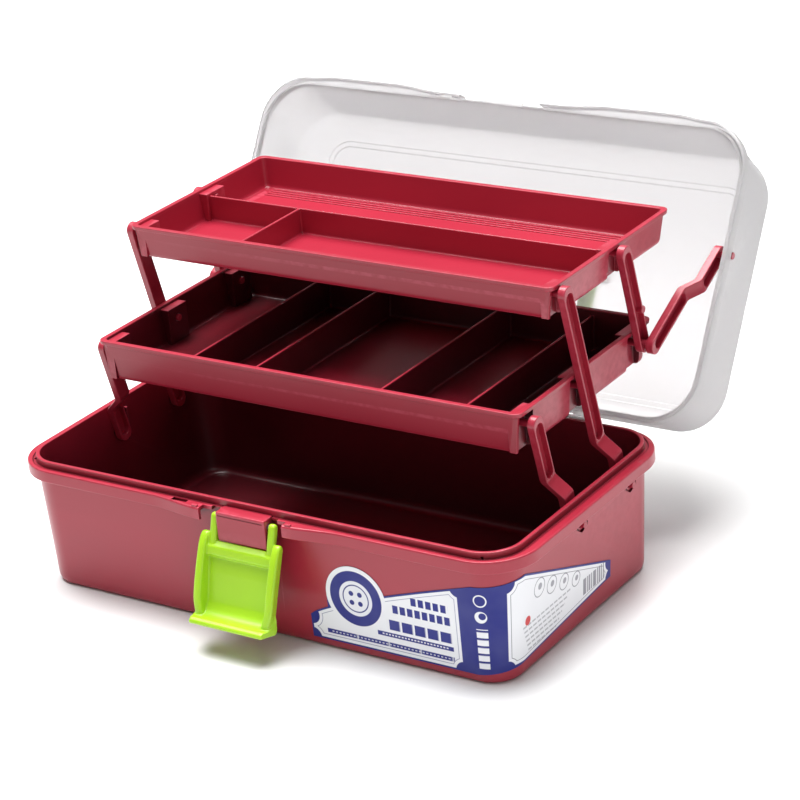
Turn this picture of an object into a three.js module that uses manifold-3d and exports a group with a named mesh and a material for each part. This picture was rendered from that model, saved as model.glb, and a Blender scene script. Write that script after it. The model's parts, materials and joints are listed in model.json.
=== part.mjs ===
// A plastic sewing box with two trays that rise on linked arms as the lid opens.
// Millimetres, +Z up, +X to the right along the box, +Y to the back. The origin is the
// middle of the base's underside. The box is modelled open, with the latch hanging.
import * as THREE from "three";
import { mergeVertices } from "three/addons/utils/BufferGeometryUtils.js";
import Module from "manifold-3d";

const wasm = await Module();
wasm.setup();

// ---------------------------------------------------------------- driving dimensions
const GAP = 0.35; // running clearance between neighbouring pieces
const BITE = 0.8; // how far a joined piece sinks into the one that carries it

// The base: outer half sizes of its wall at the floor and at the flange.
const WALL = 2.2;
const FOOT = { halfX: 153, halfY: 79.4, radius: 17 };
const BROW = { halfX: 158, halfY: 81.6, radius: 21, z: 72.3 };
const FOOT_FILLET = 5;
const FILLET_SHARE = 0.3; // where a fillet's middle level lies
const LIP_TOP = 77.5;
const LIP_ROUND = 0.5;

// The rolled flange round the base and its twin round the lid.
const FLANGE = { halfX: 165, halfY: 86.4, radius: 29 };
const FLANGE_TOP = 74.3;
const SKIRT_HEIGHT = 7;
const SKIRT_WALL = 1.8;
const SKIRT_ROUND = 0.8;

// The flange's front swells forward round the latch, and the lid's draws back there.
const BASE_WAVES = [{ depth: -3.8, reach: 62, blend: 34 }];
const LID_WAVES = [{ depth: -1.6, reach: 136, blend: 20 }, { depth: 2.2, reach: 74, blend: 34 }];
const NOTCH = { half: 27.2, front: -95, rear: -85.6, low: 64 };
const PRONG_SLOT = { from: 15.9, to: 21.6, rear: -82.9 };
const KEEPER = { half: 16, front: -90.2, wall: 2.2, back: 1.8, bottom: 57.5 };
const FLANGE_SLOTS = [
  { x: [-155, -149.5], y: [-74.5, -72.3] },
  { x: [140, 145.5], y: [-80.4, -78.2] },
  { x: [-48, -38], y: [-87, -84] },
];
const SLOT_DEPTH = 1.2;
const RELIEF = { front: 8, back: 6, down: 3.4, up: 4, depth: 2.4 };

// The lid, as it stands when closed.
const LID_FOOT = FLANGE_TOP + 0.3;
const LID_WALL = 1.8;
const LID_TOP = 129.4;
const LID_SKIRT_WALL = 1.4;
const LID_LIP = { rise: 1.2, inset: 0.4 };
const LID_ROUND = 15;
const LID_SHOULDER = { halfX: 163, front: -76.8, rear: 85, radius: 27 };
const LID_SKIRT_TOP = { halfX: 163.4, front: -83.9, rear: 85.1, radius: 28 };
const LID_CROWN = { halfX: 146, front: -61, rear: 73.4, radius: 15 };
const LID_STEP = { inset: 3, run: 1, rise: 1.2 };
const LID_NOTCH_TOP = 83;
const CATCH = { x: [-13, 13], y: [-86, -83], z: [79.5, 81.5] };
const LOCATOR = { x: [-42, -33], y: [-85, -83], rise: [0.8, 6.4] };

// Hinge line, opening angle and the hinges' places along the box.
const HINGE = { y: 93.8, z: 68.6, radius: 4.2, pin: 2 };
const LID_OPEN = THREE.MathUtils.degToRad(122.4);
const HINGE_CENTRES = { right: 100, left: -100 };
const KNUCKLE = { half: 7, root: 85.6, toe: 89.6, brow: 89, reach: 0.6 };
const EAR = { width: 4, foot: 50, shelf: 86, drop: 0.1 };
const BORE_HALF = 20;

// The trays, open: centre and rim height, half sizes over the rolled rim, and depth.
const LOWER = { halfX: 138.8, halfY: 71.6, depth: 24.4, y: 44.9, rim: 129.6 };
const UPPER = { halfX: 138.8, halfY: 64.7, depth: 19.6, y: 78.1, rim: 184.3 };
const TRAY_WALL = 1.6;
const RIM_WIDTH = 1.6;
const RIM_HEIGHT = 2.4;
const TRAY_DRAFT = 2.6;
const TRAY_RADIUS = 4.5;
const TRAY_FILLET = 2;
const RIM_ROUND = 0.6;
const DIVIDER_DROP = 3;
const LOWER_DIVIDERS = [-77, -34.5, 47.5, 101.5];
const UPPER_DIVIDER_Y = 0.5;
const UPPER_SHORT_DIVIDER_X = -66;
const FLOOR_RIBS = { count: 4, pitch: 3, height: 0.5, width: 0.7, fromBack: 9, halfX: 126 };

// The linkage. All arms lean forward by the same angle; the trays stay level.
const LEAN = THREE.MathUtils.degToRad(14);
const BASE_PIVOTS = { front: -1.2, rear: 51.3, z: 60 };
const LOWER_PIVOT_Z = 121;
const UPPER_PIVOT_Z = 178.5;
const LINK_TRAY_Y = 98.4;
const LID_PIN = { y: -14, z: 84.6 }; // on the closed lid
const ARM = { width: 9.4, thick: 4.5, web: 1.2, rail: 1.3, end: 3 };
const NUB = { z: 20, radius: 2.2 };
const STUB_RADIUS = 2.6;
const ARM_INNER_X = 139.5;
const ARM_OUTER_X = 148.4;
const JOGGLE = { start: 18, end: 29 };
const LINK_INNER_X = 146;
const LINK_OUTER_X = 153;
const LINK_JOGGLE = { start: 24, end: 34 };
const PIN = 2;
const PIN_HOLE = PIN + GAP;
const TRAY_PIN_TIP = 128.6;
const GUIDE = { from: 153.4, to: 156.2, back: 8, width: 1.6, high: [52, 72] };
const WALL_PIN_TIP = 158.9;
const LID_PIN_TIP = 164.6;
const POCKET = { half: 7, x: 131.4, wall: 1.6, drop: 3.2, out: 142 };

// The latch, as it hangs straight down from its pin.
const LATCH_PIVOT = { y: -86.2, z: 69.6 };
const LATCH_LEAN = THREE.MathUtils.degToRad(17);
const LATCH = { half: 26, length: 55, face: 1.2, panel: 1.8, panelTop: -13 };
const LATCH_RAIL = { width: 5, depth: 6, top: -10, shoulder: -30 };
const LATCH_BAR = { half: 25, depth: 3, top: -13.1, brow: -15.8, foot: -20.2 };
const LATCH_LIP = { half: 25.5, depth: 11.5, drop: 3, thick: 2 };
const PRONG = { from: 16.5, to: 21, width: 4.4, reach: 15 };
const LATCH_PIN = 1.5;
const LATCH_PIN_REACH = 19.4;

// The carry handle lies folded on the lid.
const HANDLE = { half: 56, bar: 8, thick: 7, reach: 34, pin: 2, heel: 2.5 };
const GRIP = { back: 10, front: 4, low: 0.5, high: 1.5 };
const BOSS = { radius: 5, height: 9.5, width: 6 };
const HANDLE_AXIS = LID_TOP + LID_STEP.rise + BOSS.height - BOSS.radius;

// The label wraps the front right corner.
const LABEL = { thick: 0.3, gap: 0.3, frontX: 33, sideY: 28 };
const LABEL_STEPS = { front: 22, corner: 8, side: 10, up: 6 };
const LABEL_HIGH = { start: 19, front: 57, side: 59, end: 25 };
const LABEL_LOW = { front: 5.5, side: 8.5, end: 15 };
const EMBLEM = { x: 64, z: 34.6, radius: 19 };

const CORNER_STEPS = 5;
const FRONT_STEPS = 14;
const ARC_STEPS = 5;
const RIGHT = 1;
const LEFT = -1;

// ---------------------------------------------------------------- materials
function plastic(color, roughness) {
  return new THREE.MeshStandardMaterial({ color, roughness, metalness: 0 });
}
const burgundy = plastic(0xa3273a, 0.32);
const milky = plastic(0xeef0f2, 0.38);
const lime = plastic(0x97d61c, 0.36);
const film = plastic(0xf4f4f6, 0.3);
const steel = new THREE.MeshStandardMaterial({ color: 0xb9bbbf, roughness: 0.35, metalness: 1 });

// ---------------------------------------------------------------- solids
// The same shape with only its places kept and its shared corners merged.
function welded(geometry) {
  const bare = geometry.clone();
  for (const name of Object.keys(bare.attributes)) {
    if (name !== "position") bare.deleteAttribute(name);
  }
  return mergeVertices(bare, 1e-5);
}

function toSolid(geometry) {
  const merged = welded(geometry);
  return new wasm.Manifold(new wasm.Mesh({
    numProp: 3,
    vertProperties: new Float32Array(merged.attributes.position.array),
    triVerts: new Uint32Array(merged.index.array),
  }));
}

function toGeometry(solid) {
  const mesh = solid.getMesh();
  const geometry = new THREE.BufferGeometry();
  geometry.setAttribute("position", new THREE.BufferAttribute(mesh.vertProperties, 3));
  geometry.setIndex(new THREE.BufferAttribute(mesh.triVerts, 1));
  return geometry;
}

function join(first, ...others) {
  return toGeometry(others.reduce((sum, item) => sum.add(toSolid(item)), toSolid(first)));
}

function cut(first, ...others) {
  return toGeometry(others.reduce((rest, item) => rest.subtract(toSolid(item)), toSolid(first)));
}

function block([x0, x1], [y0, y1], [z0, z1]) {
  const box = new THREE.BoxGeometry(x1 - x0, y1 - y0, z1 - z0);
  return box.translate((x0 + x1) / 2, (y0 + y1) / 2, (z0 + z1) / 2);
}

function rod([x0, x1], y, z, radius, sides = 12) {
  const bar = new THREE.CylinderGeometry(radius, radius, x1 - x0, sides).rotateZ(Math.PI / 2);
  return bar.translate((x0 + x1) / 2, y, z);
}

// An outline drawn in the (y, z) plane, made into a plate between two X places.
function plate(shape, [x0, x1]) {
  const settings = { depth: x1 - x0, bevelEnabled: false, curveSegments: ARC_STEPS };
  const solid = new THREE.ExtrudeGeometry(shape, settings);
  const toSide = new THREE.Matrix4().makeBasis(
    new THREE.Vector3(0, 1, 0), new THREE.Vector3(0, 0, 1), new THREE.Vector3(1, 0, 0));
  return solid.applyMatrix4(toSide).translate(x0, 0, 0);
}

function mirrored(geometry) {
  const twin = welded(geometry).scale(-1, 1, 1);
  const order = twin.index.array;
  for (let i = 0; i < order.length; i += 3) {
    [order[i], order[i + 1]] = [order[i + 1], order[i]];
  }
  return twin;
}

const onSide = (geometry, side) => (side === RIGHT ? geometry : mirrored(geometry));

// A closed rod outline with round ends along +Z, from z0 to z1.
function slot(width, z0, z1) {
  const shape = new THREE.Shape();
  shape.absarc(0, z1, width / 2, 0, Math.PI, false);
  shape.absarc(0, z0, width / 2, Math.PI, 2 * Math.PI, false);
  shape.closePath();
  return shape;
}

// One level round a rounded rectangle, anticlockwise seen from above. The front side may
// swell or draw back in smooth waves round its middle.
function level({ halfX, front, rear, radius, z, waves }) {
  const points = [];
  const corner = (cx, cy, from) => {
    for (let i = 0; i <= CORNER_STEPS; i += 1) {
      const angle = from + (i / CORNER_STEPS) * (Math.PI / 2);
      points.push(new THREE.Vector3(cx + radius * Math.cos(angle), cy + radius * Math.sin(angle), z));
    }
  };
  corner(halfX - radius, rear - radius, 0);
  corner(-halfX + radius, rear - radius, Math.PI / 2);
  corner(-halfX + radius, front + radius, Math.PI);
  if (waves) {
    const reach = halfX - radius;
    for (let i = 1; i < FRONT_STEPS; i += 1) {
      const x = THREE.MathUtils.lerp(-reach, reach, i / FRONT_STEPS);
      const rises = waves.map((wave) => {
        return wave.depth * THREE.MathUtils.smoothstep(wave.reach - Math.abs(x), 0, wave.blend);
      });
      points.push(new THREE.Vector3(x, rises.reduce((sum, rise) => sum + rise, front), z));
    }
  }
  corner(halfX - radius, front + radius, 1.5 * Math.PI);
  return points;
}

// A closed skin over a run of levels, capped at the first one and at the last one.
function loft(levels) {
  const count = levels[0].length;
  const positions = levels.flat().flatMap((point) => point.toArray());
  const faces = [];
  for (let row = 0; row + 1 < levels.length; row += 1) {
    for (let i = 0; i < count; i += 1) {
      const next = (i + 1) % count;
      const [a, b] = [row * count + i, row * count + next];
      faces.push(a, b, b + count, a, b + count, a + count);
    }
  }
  const cap = (row, up) => {
    const middle = levels[row].reduce((sum, point) => sum.add(point), new THREE.Vector3());
    positions.push(...middle.divideScalar(count).toArray());
    const hub = positions.length / 3 - 1;
    for (let i = 0; i < count; i += 1) {
      const [a, b] = [row * count + i, row * count + ((i + 1) % count)];
      faces.push(hub, up ? a : b, up ? b : a);
    }
  };
  cap(0, false);
  cap(levels.length - 1, true);
  const skin = new THREE.BufferGeometry();
  skin.setAttribute("position", new THREE.Float32BufferAttribute(positions, 3));
  skin.setIndex(faces);
  return skin;
}

const node = (name, geometry, material) => {
  const mesh = new THREE.Mesh(geometry, material);
  mesh.name = name;
  return mesh;
};

// ---------------------------------------------------------------- base
// The base's wall at one height, drawn in by an inset.
function baseLevel(z, inset = 0) {
  const t = THREE.MathUtils.clamp(z / BROW.z, 0, 1);
  const halfY = THREE.MathUtils.lerp(FOOT.halfY, BROW.halfY, t) - inset;
  return {
    halfX: THREE.MathUtils.lerp(FOOT.halfX, BROW.halfX, t) - inset,
    front: -halfY,
    rear: halfY,
    radius: THREE.MathUtils.lerp(FOOT.radius, BROW.radius, t) - inset,
    z,
    waves: [],
  };
}

function flangeLevel(z, inset, waves) {
  const halfY = FLANGE.halfY - inset;
  return {
    halfX: FLANGE.halfX - inset,
    front: -halfY,
    rear: halfY,
    radius: FLANGE.radius - inset,
    z,
    waves,
  };
}

function baseBody() {
  const skirtFoot = FLANGE_TOP - SKIRT_HEIGHT;
  const f = FOOT_FILLET;
  return loft([
    baseLevel(0, f),
    baseLevel(f * FILLET_SHARE, f * FILLET_SHARE),
    baseLevel(f),
    baseLevel(BROW.z),
    flangeLevel(BROW.z, SKIRT_WALL, BASE_WAVES),
    flangeLevel(skirtFoot, SKIRT_WALL, BASE_WAVES),
    flangeLevel(skirtFoot, 0, BASE_WAVES),
    flangeLevel(FLANGE_TOP - SKIRT_ROUND, 0, BASE_WAVES),
    flangeLevel(FLANGE_TOP, SKIRT_ROUND, BASE_WAVES),
    baseLevel(FLANGE_TOP),
    baseLevel(LIP_TOP - LIP_ROUND),
    baseLevel(LIP_TOP, LIP_ROUND),
    baseLevel(LIP_TOP, WALL - LIP_ROUND),
    baseLevel(LIP_TOP - LIP_ROUND, WALL),
    baseLevel(WALL + f, WALL),
    baseLevel(WALL + f * FILLET_SHARE, WALL + f * FILLET_SHARE),
    baseLevel(WALL, WALL + f),
  ].map(level));
}

// The two-eared hinge bracket behind the rear wall.
function hingeEars(centre) {
  const shape = new THREE.Shape();
  const root = BROW.halfY - BITE;
  const top = FLANGE_TOP - EAR.drop;
  shape.moveTo(root, EAR.foot);
  shape.lineTo(HINGE.y, HINGE.z - HINGE.radius);
  shape.absarc(HINGE.y, HINGE.z, HINGE.radius, -Math.PI / 2, Math.PI / 2, false);
  shape.lineTo(EAR.shelf, top);
  shape.lineTo(root, top);
  shape.closePath();
  const inner = KNUCKLE.half + GAP;
  return [-1, 1].map((way) => {
    const near = centre + way * inner;
    const far = centre + way * (inner + EAR.width);
    return plate(shape, [Math.min(near, far), Math.max(near, far)]);
  });
}

// The hollow keeper that the latch hangs on, between the latch's prongs.
function keeper() {
  const { half, front, wall, back, bottom } = KEEPER;
  const rear = -BROW.halfY + BITE;
  const body = block([-half, half], [front, rear], [bottom, FLANGE_TOP]);
  const inside = [wall - half, half - wall];
  const hollow = block(inside, [front + wall, rear - back], [bottom - 1, FLANGE_TOP - wall]);
  return cut(body, hollow);
}

// Upright guide ribs that keep the arms off the end walls.
function guideRibs(side) {
  const ribs = [BASE_PIVOTS.front, BASE_PIVOTS.rear].map((y) => {
    return block([GUIDE.from, GUIDE.to], [y + GUIDE.back, y + GUIDE.back + GUIDE.width], GUIDE.high);
  });
  return ribs.map((rib) => onSide(rib, side));
}

// Pin holes through an end wall, each in a shallow wedge-shaped relief.
function pinReliefs(side) {
  return [BASE_PIVOTS.front, BASE_PIVOTS.rear].flatMap((y) => {
    const wedge = new THREE.Shape();
    wedge.moveTo(y - RELIEF.front, BASE_PIVOTS.z - RELIEF.down);
    wedge.lineTo(y + RELIEF.back, BASE_PIVOTS.z - RELIEF.down);
    wedge.lineTo(y + RELIEF.back, BASE_PIVOTS.z + RELIEF.up);
    wedge.closePath();
    const relief = plate(wedge, [BROW.halfX - RELIEF.depth, BROW.halfX + 1]);
    const hole = rod([FOOT.halfX - WALL, BROW.halfX + WALL], y, BASE_PIVOTS.z, PIN_HOLE);
    return [onSide(relief, side), onSide(hole, side)];
  });
}

// Drain slots in the flange's top near the front corners, and one beside the latch.
function flangeSlots() {
  const high = [FLANGE_TOP - SLOT_DEPTH, FLANGE_TOP + 1];
  return FLANGE_SLOTS.map(({ x, y }) => block(x, y, high));
}

// The flange's notch for the latch, with two deeper slots for its prongs.
function latchNotch() {
  const { half, front, rear, low } = NOTCH;
  const high = [low, FLANGE_TOP + 1];
  const slots = [[PRONG_SLOT.from, PRONG_SLOT.to], [-PRONG_SLOT.to, -PRONG_SLOT.from]];
  return [
    block([-half, half], [front, rear], high),
    ...slots.map((x) => block(x, [front, PRONG_SLOT.rear], high)),
  ];
}

// The bores of the two hinges, through the ears and the knuckles alike.
function hingeBores() {
  return Object.values(HINGE_CENTRES).map((x) => {
    return rod([x - BORE_HALF, x + BORE_HALF], HINGE.y, HINGE.z, HINGE.pin + GAP);
  });
}

function baseShell() {
  const notched = cut(baseBody(), ...latchNotch(), ...flangeSlots());
  const whole = join(
    notched,
    keeper(),
    ...Object.values(HINGE_CENTRES).flatMap(hingeEars),
    ...guideRibs(RIGHT),
    ...guideRibs(LEFT),
  );
  const latchBore = rod([-BORE_HALF, BORE_HALF], LATCH_PIVOT.y, LATCH_PIVOT.z, LATCH_PIN + GAP);
  return cut(whole, latchBore, ...hingeBores(), ...pinReliefs(RIGHT), ...pinReliefs(LEFT));
}

// ---------------------------------------------------------------- lid
// The lid's wall between its skirt and its shoulder, drawn in by an inset.
function lidLevel(z, inset = 0) {
  const shoulderZ = LID_TOP - LID_ROUND;
  const skirtZ = LID_FOOT + SKIRT_HEIGHT;
  const t = THREE.MathUtils.clamp((z - skirtZ) / (shoulderZ - skirtZ), 0, 1);
  const mix = (key) => THREE.MathUtils.lerp(LID_SKIRT_TOP[key], LID_SHOULDER[key], t);
  return {
    halfX: mix("halfX") - inset,
    front: mix("front") + inset,
    rear: mix("rear") - inset,
    radius: mix("radius") - inset,
    z,
    waves: [],
  };
}

// The round from the shoulder up to the crown; turn runs from 0 to a right angle.
function crownLevel(turn, inset = 0) {
  const run = 1 - Math.cos(turn);
  const mix = (key) => THREE.MathUtils.lerp(LID_SHOULDER[key], LID_CROWN[key], run);
  return {
    halfX: mix("halfX") - inset * Math.cos(turn),
    front: mix("front") + inset * Math.cos(turn),
    rear: mix("rear") - inset * Math.cos(turn),
    radius: mix("radius") - inset * Math.cos(turn),
    z: LID_TOP - LID_ROUND + LID_ROUND * Math.sin(turn) - inset * Math.sin(turn),
    waves: [],
  };
}

function crownStep(extra, rise, drop) {
  return {
    halfX: LID_CROWN.halfX - extra,
    front: LID_CROWN.front + extra,
    rear: LID_CROWN.rear - extra,
    radius: LID_CROWN.radius - extra,
    z: LID_TOP + rise - drop,
    waves: [],
  };
}

function lidBody() {
  const turns = [0, 0.25, 0.5, 0.75, 1].map((part) => part * (Math.PI / 2));
  const skirtTop = LID_FOOT + SKIRT_HEIGHT;
  const plateFoot = skirtTop - SKIRT_WALL;
  const { inset, run, rise } = LID_STEP;
  return loft([
    crownStep(inset + run, rise, LID_WALL),
    crownStep(inset, 0, LID_WALL),
    ...turns.map((turn) => crownLevel(turn, LID_WALL)).reverse(),
    lidLevel(skirtTop, LID_WALL),
    lidLevel(LID_FOOT + LID_LIP.rise, LID_WALL),
    lidLevel(LID_FOOT + LID_LIP.rise, LID_LIP.inset),
    lidLevel(plateFoot),
    flangeLevel(plateFoot, LID_SKIRT_WALL, LID_WAVES),
    flangeLevel(LID_FOOT, LID_SKIRT_WALL, LID_WAVES),
    flangeLevel(LID_FOOT, 0, LID_WAVES),
    flangeLevel(skirtTop - SKIRT_ROUND, 0, LID_WAVES),
    flangeLevel(skirtTop, SKIRT_ROUND, LID_WAVES),
    lidLevel(skirtTop + 0.3),
    ...turns.map((turn) => crownLevel(turn)),
    crownStep(inset, 0, 0),
    crownStep(inset + run, rise, 0),
  ].map(level));
}

// The lid's half of a hinge, which turns between the base's ears.
function knuckle(centre) {
  const shape = new THREE.Shape();
  const top = LID_FOOT + SKIRT_HEIGHT - 1;
  shape.moveTo(KNUCKLE.root, LID_FOOT + KNUCKLE.reach);
  shape.lineTo(KNUCKLE.toe, LID_FOOT - 1);
  shape.lineTo(HINGE.y - HINGE.radius, HINGE.z);
  shape.absarc(HINGE.y, HINGE.z, HINGE.radius, Math.PI, 2 * Math.PI + Math.PI / 4, false);
  shape.lineTo(KNUCKLE.brow, top);
  shape.lineTo(KNUCKLE.root, top);
  shape.closePath();
  return plate(shape, [centre - KNUCKLE.half, centre + KNUCKLE.half]);
}

function handleBosses() {
  const { radius, width } = BOSS;
  const foot = LID_TOP + LID_STEP.rise - BITE;
  const shape = new THREE.Shape();
  shape.moveTo(-radius, foot);
  shape.lineTo(radius, foot);
  shape.lineTo(radius, HANDLE_AXIS);
  shape.absarc(0, HANDLE_AXIS, radius, 0, Math.PI, false);
  shape.closePath();
  return [-1, 1].map((way) => {
    const near = way * (HANDLE.half + GAP);
    const far = way * (HANDLE.half + GAP + width);
    return plate(shape, [Math.min(near, far), Math.max(near, far)]);
  });
}

function lidShell() {
  const gap = [NOTCH.front, LID_SKIRT_TOP.front - 0.1];
  const notch = block([-NOTCH.half, NOTCH.half], gap, [LID_FOOT - 1, LID_NOTCH_TOP]);
  const notched = cut(lidBody(), notch);
  const catchLedge = block(CATCH.x, CATCH.y, CATCH.z);
  const locator = block(LOCATOR.x, LOCATOR.y, LOCATOR.rise.map((rise) => LID_FOOT + rise));
  const whole = join(
    notched,
    catchLedge,
    locator,
    ...Object.values(HINGE_CENTRES).map(knuckle),
    ...handleBosses(),
  );
  const pinRun = [LINK_OUTER_X, FLANGE.halfX + 1];
  const pinBore = rod(pinRun, LID_PIN.y, LID_PIN.z, PIN_HOLE);
  const bossEnd = HANDLE.half + BOSS.width + 1;
  const handleBore = rod([-bossEnd, bossEnd], 0, HANDLE_AXIS, HANDLE.pin + GAP);
  return cut(whole, ...hingeBores(), pinBore, mirrored(pinBore), handleBore);
}

// ---------------------------------------------------------------- trays
// One level of a tray, measured down from its rim; its walls lean in towards the floor.
function trayLevel(tray, drop, inset = 0) {
  const lean = (drop / tray.depth) * TRAY_DRAFT + inset;
  const halfY = tray.halfY - lean;
  const radius = TRAY_RADIUS - inset / 2;
  return { halfX: tray.halfX - lean, front: -halfY, rear: halfY, radius, z: -drop };
}

function trayBody(tray) {
  const round = TRAY_FILLET;
  const skin = RIM_WIDTH;
  return loft([
    trayLevel(tray, tray.depth, skin + round),
    trayLevel(tray, tray.depth - round, skin),
    trayLevel(tray, RIM_HEIGHT, skin),
    trayLevel(tray, RIM_HEIGHT, 0),
    trayLevel(tray, RIM_ROUND, 0),
    trayLevel(tray, 0, RIM_ROUND),
    trayLevel(tray, 0, skin + TRAY_WALL - RIM_ROUND),
    trayLevel(tray, RIM_ROUND, skin + TRAY_WALL),
    trayLevel(tray, tray.depth - TRAY_WALL - round, skin + TRAY_WALL),
    trayLevel(tray, tray.depth - TRAY_WALL, skin + TRAY_WALL + round),
  ].map(level));
}

// A pocket in the end wall round a pivot, open below, with the wall carried round it.
function pivotPockets(tray, pivots, drop) {
  const boxes = [];
  const cuts = [];
  const outer = POCKET.half + POCKET.wall;
  const high = [BITE - tray.depth, POCKET.wall - POCKET.drop];
  for (const y of pivots) {
    const front = Math.max(y - outer, -tray.halfY + RIM_WIDTH + 1);
    const walls = block([POCKET.x - POCKET.wall, POCKET.out], [front, y + outer], high);
    const box = trimmed(walls, trayFill(tray));
    const inside = [Math.max(y - POCKET.half, front + POCKET.wall), y + POCKET.half];
    const hollow = block([POCKET.x, POCKET.out], inside, [-tray.depth - 1, -POCKET.drop]);
    const hole = rod([POCKET.x - 2 * POCKET.wall, POCKET.x + 1], y, -drop, PIN_HOLE);
    boxes.push(box, mirrored(box));
    cuts.push(hollow, mirrored(hollow), hole, mirrored(hole));
  }
  return { boxes, cuts };
}

// The part of a body that lies inside another.
function trimmed(geometry, fill) {
  return toGeometry(toSolid(geometry).intersect(toSolid(fill)));
}

function lowerTray() {
  const pivots = [lowerFront.y, lowerMiddle.y, LINK_TRAY_Y].map((y) => y - LOWER.y);
  const { boxes, cuts } = pivotPockets(LOWER, pivots, LOWER.rim - LOWER_PIVOT_Z);
  const reach = LOWER.halfY - RIM_WIDTH - 1;
  const dividers = LOWER_DIVIDERS.map((x) => {
    return block([x, x + TRAY_WALL], [-reach, reach], [BITE - LOWER.depth, -DIVIDER_DROP]);
  });
  const clipped = dividers.map((divider) => trimmed(divider, trayFill(LOWER)));
  return cut(join(trayBody(LOWER), ...boxes, ...clipped), ...cuts);
}

// The solid that fills a tray out to its wall, used to trim dividers to the sloping walls.
function trayFill(tray) {
  const inset = RIM_WIDTH + 0.5;
  return loft([
    trayLevel(tray, tray.depth - 0.4, inset + TRAY_WALL),
    trayLevel(tray, tray.depth - TRAY_FILLET, inset),
    trayLevel(tray, 0.5, inset),
  ].map(level));
}

function upperTray() {
  const pivots = [upperFront.y, upperRear.y].map((y) => y - UPPER.y);
  const { boxes, cuts } = pivotPockets(UPPER, pivots, UPPER.rim - UPPER_PIVOT_Z);
  const high = [BITE - UPPER.depth, -DIVIDER_DROP];
  const half = TRAY_WALL / 2;
  const wide = [-UPPER.halfX, UPPER.halfX];
  const longWall = block(wide, [UPPER_DIVIDER_Y - half, UPPER_DIVIDER_Y + half], high);
  const shortX = [UPPER_SHORT_DIVIDER_X - half, UPPER_SHORT_DIVIDER_X + half];
  const shortWall = block(shortX, [-UPPER.halfY, UPPER_DIVIDER_Y], high);
  const floor = -UPPER.depth + TRAY_WALL;
  const ribs = Array.from({ length: FLOOR_RIBS.count }, (_, i) => {
    const y = UPPER.halfY - FLOOR_RIBS.fromBack - i * FLOOR_RIBS.pitch;
    const rise = [floor - BITE, floor + FLOOR_RIBS.height];
    return block([-FLOOR_RIBS.halfX, FLOOR_RIBS.halfX], [y, y + FLOOR_RIBS.width], rise);
  });
  const inside = [longWall, shortWall].map((wall) => trimmed(wall, trayFill(UPPER)));
  return cut(join(trayBody(UPPER), ...boxes, ...inside, ...ribs), ...cuts);
}

// ---------------------------------------------------------------- linkage
// Where the pivots come when the box is open.
const lowerRise = LOWER_PIVOT_Z - BASE_PIVOTS.z;
const upperRise = UPPER_PIVOT_Z - LOWER_PIVOT_Z;
const lowerLength = lowerRise / Math.cos(LEAN);
const upperLength = upperRise / Math.cos(LEAN);
const lowerFront = { y: BASE_PIVOTS.front - lowerRise * Math.tan(LEAN), z: LOWER_PIVOT_Z };
const lowerMiddle = { y: BASE_PIVOTS.rear - lowerRise * Math.tan(LEAN), z: LOWER_PIVOT_Z };
const upperFront = { y: lowerMiddle.y - upperRise * Math.tan(LEAN), z: UPPER_PIVOT_Z };
const upperRear = { y: LINK_TRAY_Y - upperRise * Math.tan(LEAN), z: UPPER_PIVOT_Z };

// A straight channel with round ends along +Z: a web with a rail all round its open side.
function channel(x0, z0, z1, openOut) {
  const body = plate(slot(ARM.width, z0, z1), [x0, x0 + ARM.thick]);
  const groove = slot(ARM.width - 2 * ARM.rail, z0 + ARM.end, z1 - ARM.end);
  const outer = x0 + ARM.thick;
  const span = openOut ? [x0 + ARM.web, outer + 1] : [x0 - 1, outer - ARM.web];
  return cut(body, plate(groove, span));
}

// The cranked step that carries an arm from one plane to another.
function crank(xLow, xHigh, z0, z1) {
  const inner = [[z0 - ARM.end, xLow], [z0, xLow], [z1, xHigh], [z1 + ARM.end, xHigh]];
  const outer = inner.map(([z, x]) => [z, x + ARM.thick]).reverse();
  const outline = new THREE.Shape([...inner, ...outer].map(([z, x]) => new THREE.Vector2(z, -x)));
  const solid = new THREE.ExtrudeGeometry(outline, { depth: ARM.width, bevelEnabled: false });
  const toArm = new THREE.Matrix4().makeBasis(
    new THREE.Vector3(0, 0, 1), new THREE.Vector3(-1, 0, 0), new THREE.Vector3(0, -1, 0));
  return solid.applyMatrix4(toArm).translate(0, ARM.width / 2, 0);
}

// An arm that starts in the outer plane at the base and steps in towards the trays.
function crankedArm(length, trayPins, side) {
  const { start, end } = JOGGLE;
  const low = channel(ARM_OUTER_X, 0, start, false);
  const high = channel(ARM_INNER_X, end, length, true);
  const step = crank(ARM_OUTER_X, ARM_INNER_X, start, end);
  const wallPin = rod([ARM_OUTER_X + ARM.thick - BITE, WALL_PIN_TIP], 0, 0, PIN);
  const pins = trayPins.map((z) => rod([TRAY_PIN_TIP, ARM_INNER_X + BITE], 0, z, PIN));
  return onSide(join(low, high, step, wallPin, ...pins), side);
}

function upperArm(side) {
  const body = channel(ARM_INNER_X, 0, upperLength, true);
  const nub = rod([ARM_INNER_X, ARM_INNER_X + ARM.thick], ARM.width / 2, NUB.z, NUB.radius);
  const pins = [0, upperLength].map((z) => rod([TRAY_PIN_TIP, ARM_INNER_X + BITE], 0, z, PIN));
  const stub = rod([ARM_INNER_X + BITE, LINK_INNER_X - GAP], 0, 0, STUB_RADIUS);
  return onSide(join(body, nub, stub, ...pins), side);
}

// Where a point of the closed lid comes when the lid is open.
function opened({ y, z }) {
  const [dy, dz] = [y - HINGE.y, z - HINGE.z];
  return {
    y: HINGE.y + dy * Math.cos(LID_OPEN) + dz * Math.sin(LID_OPEN),
    z: HINGE.z - dy * Math.sin(LID_OPEN) + dz * Math.cos(LID_OPEN),
  };
}

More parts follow.
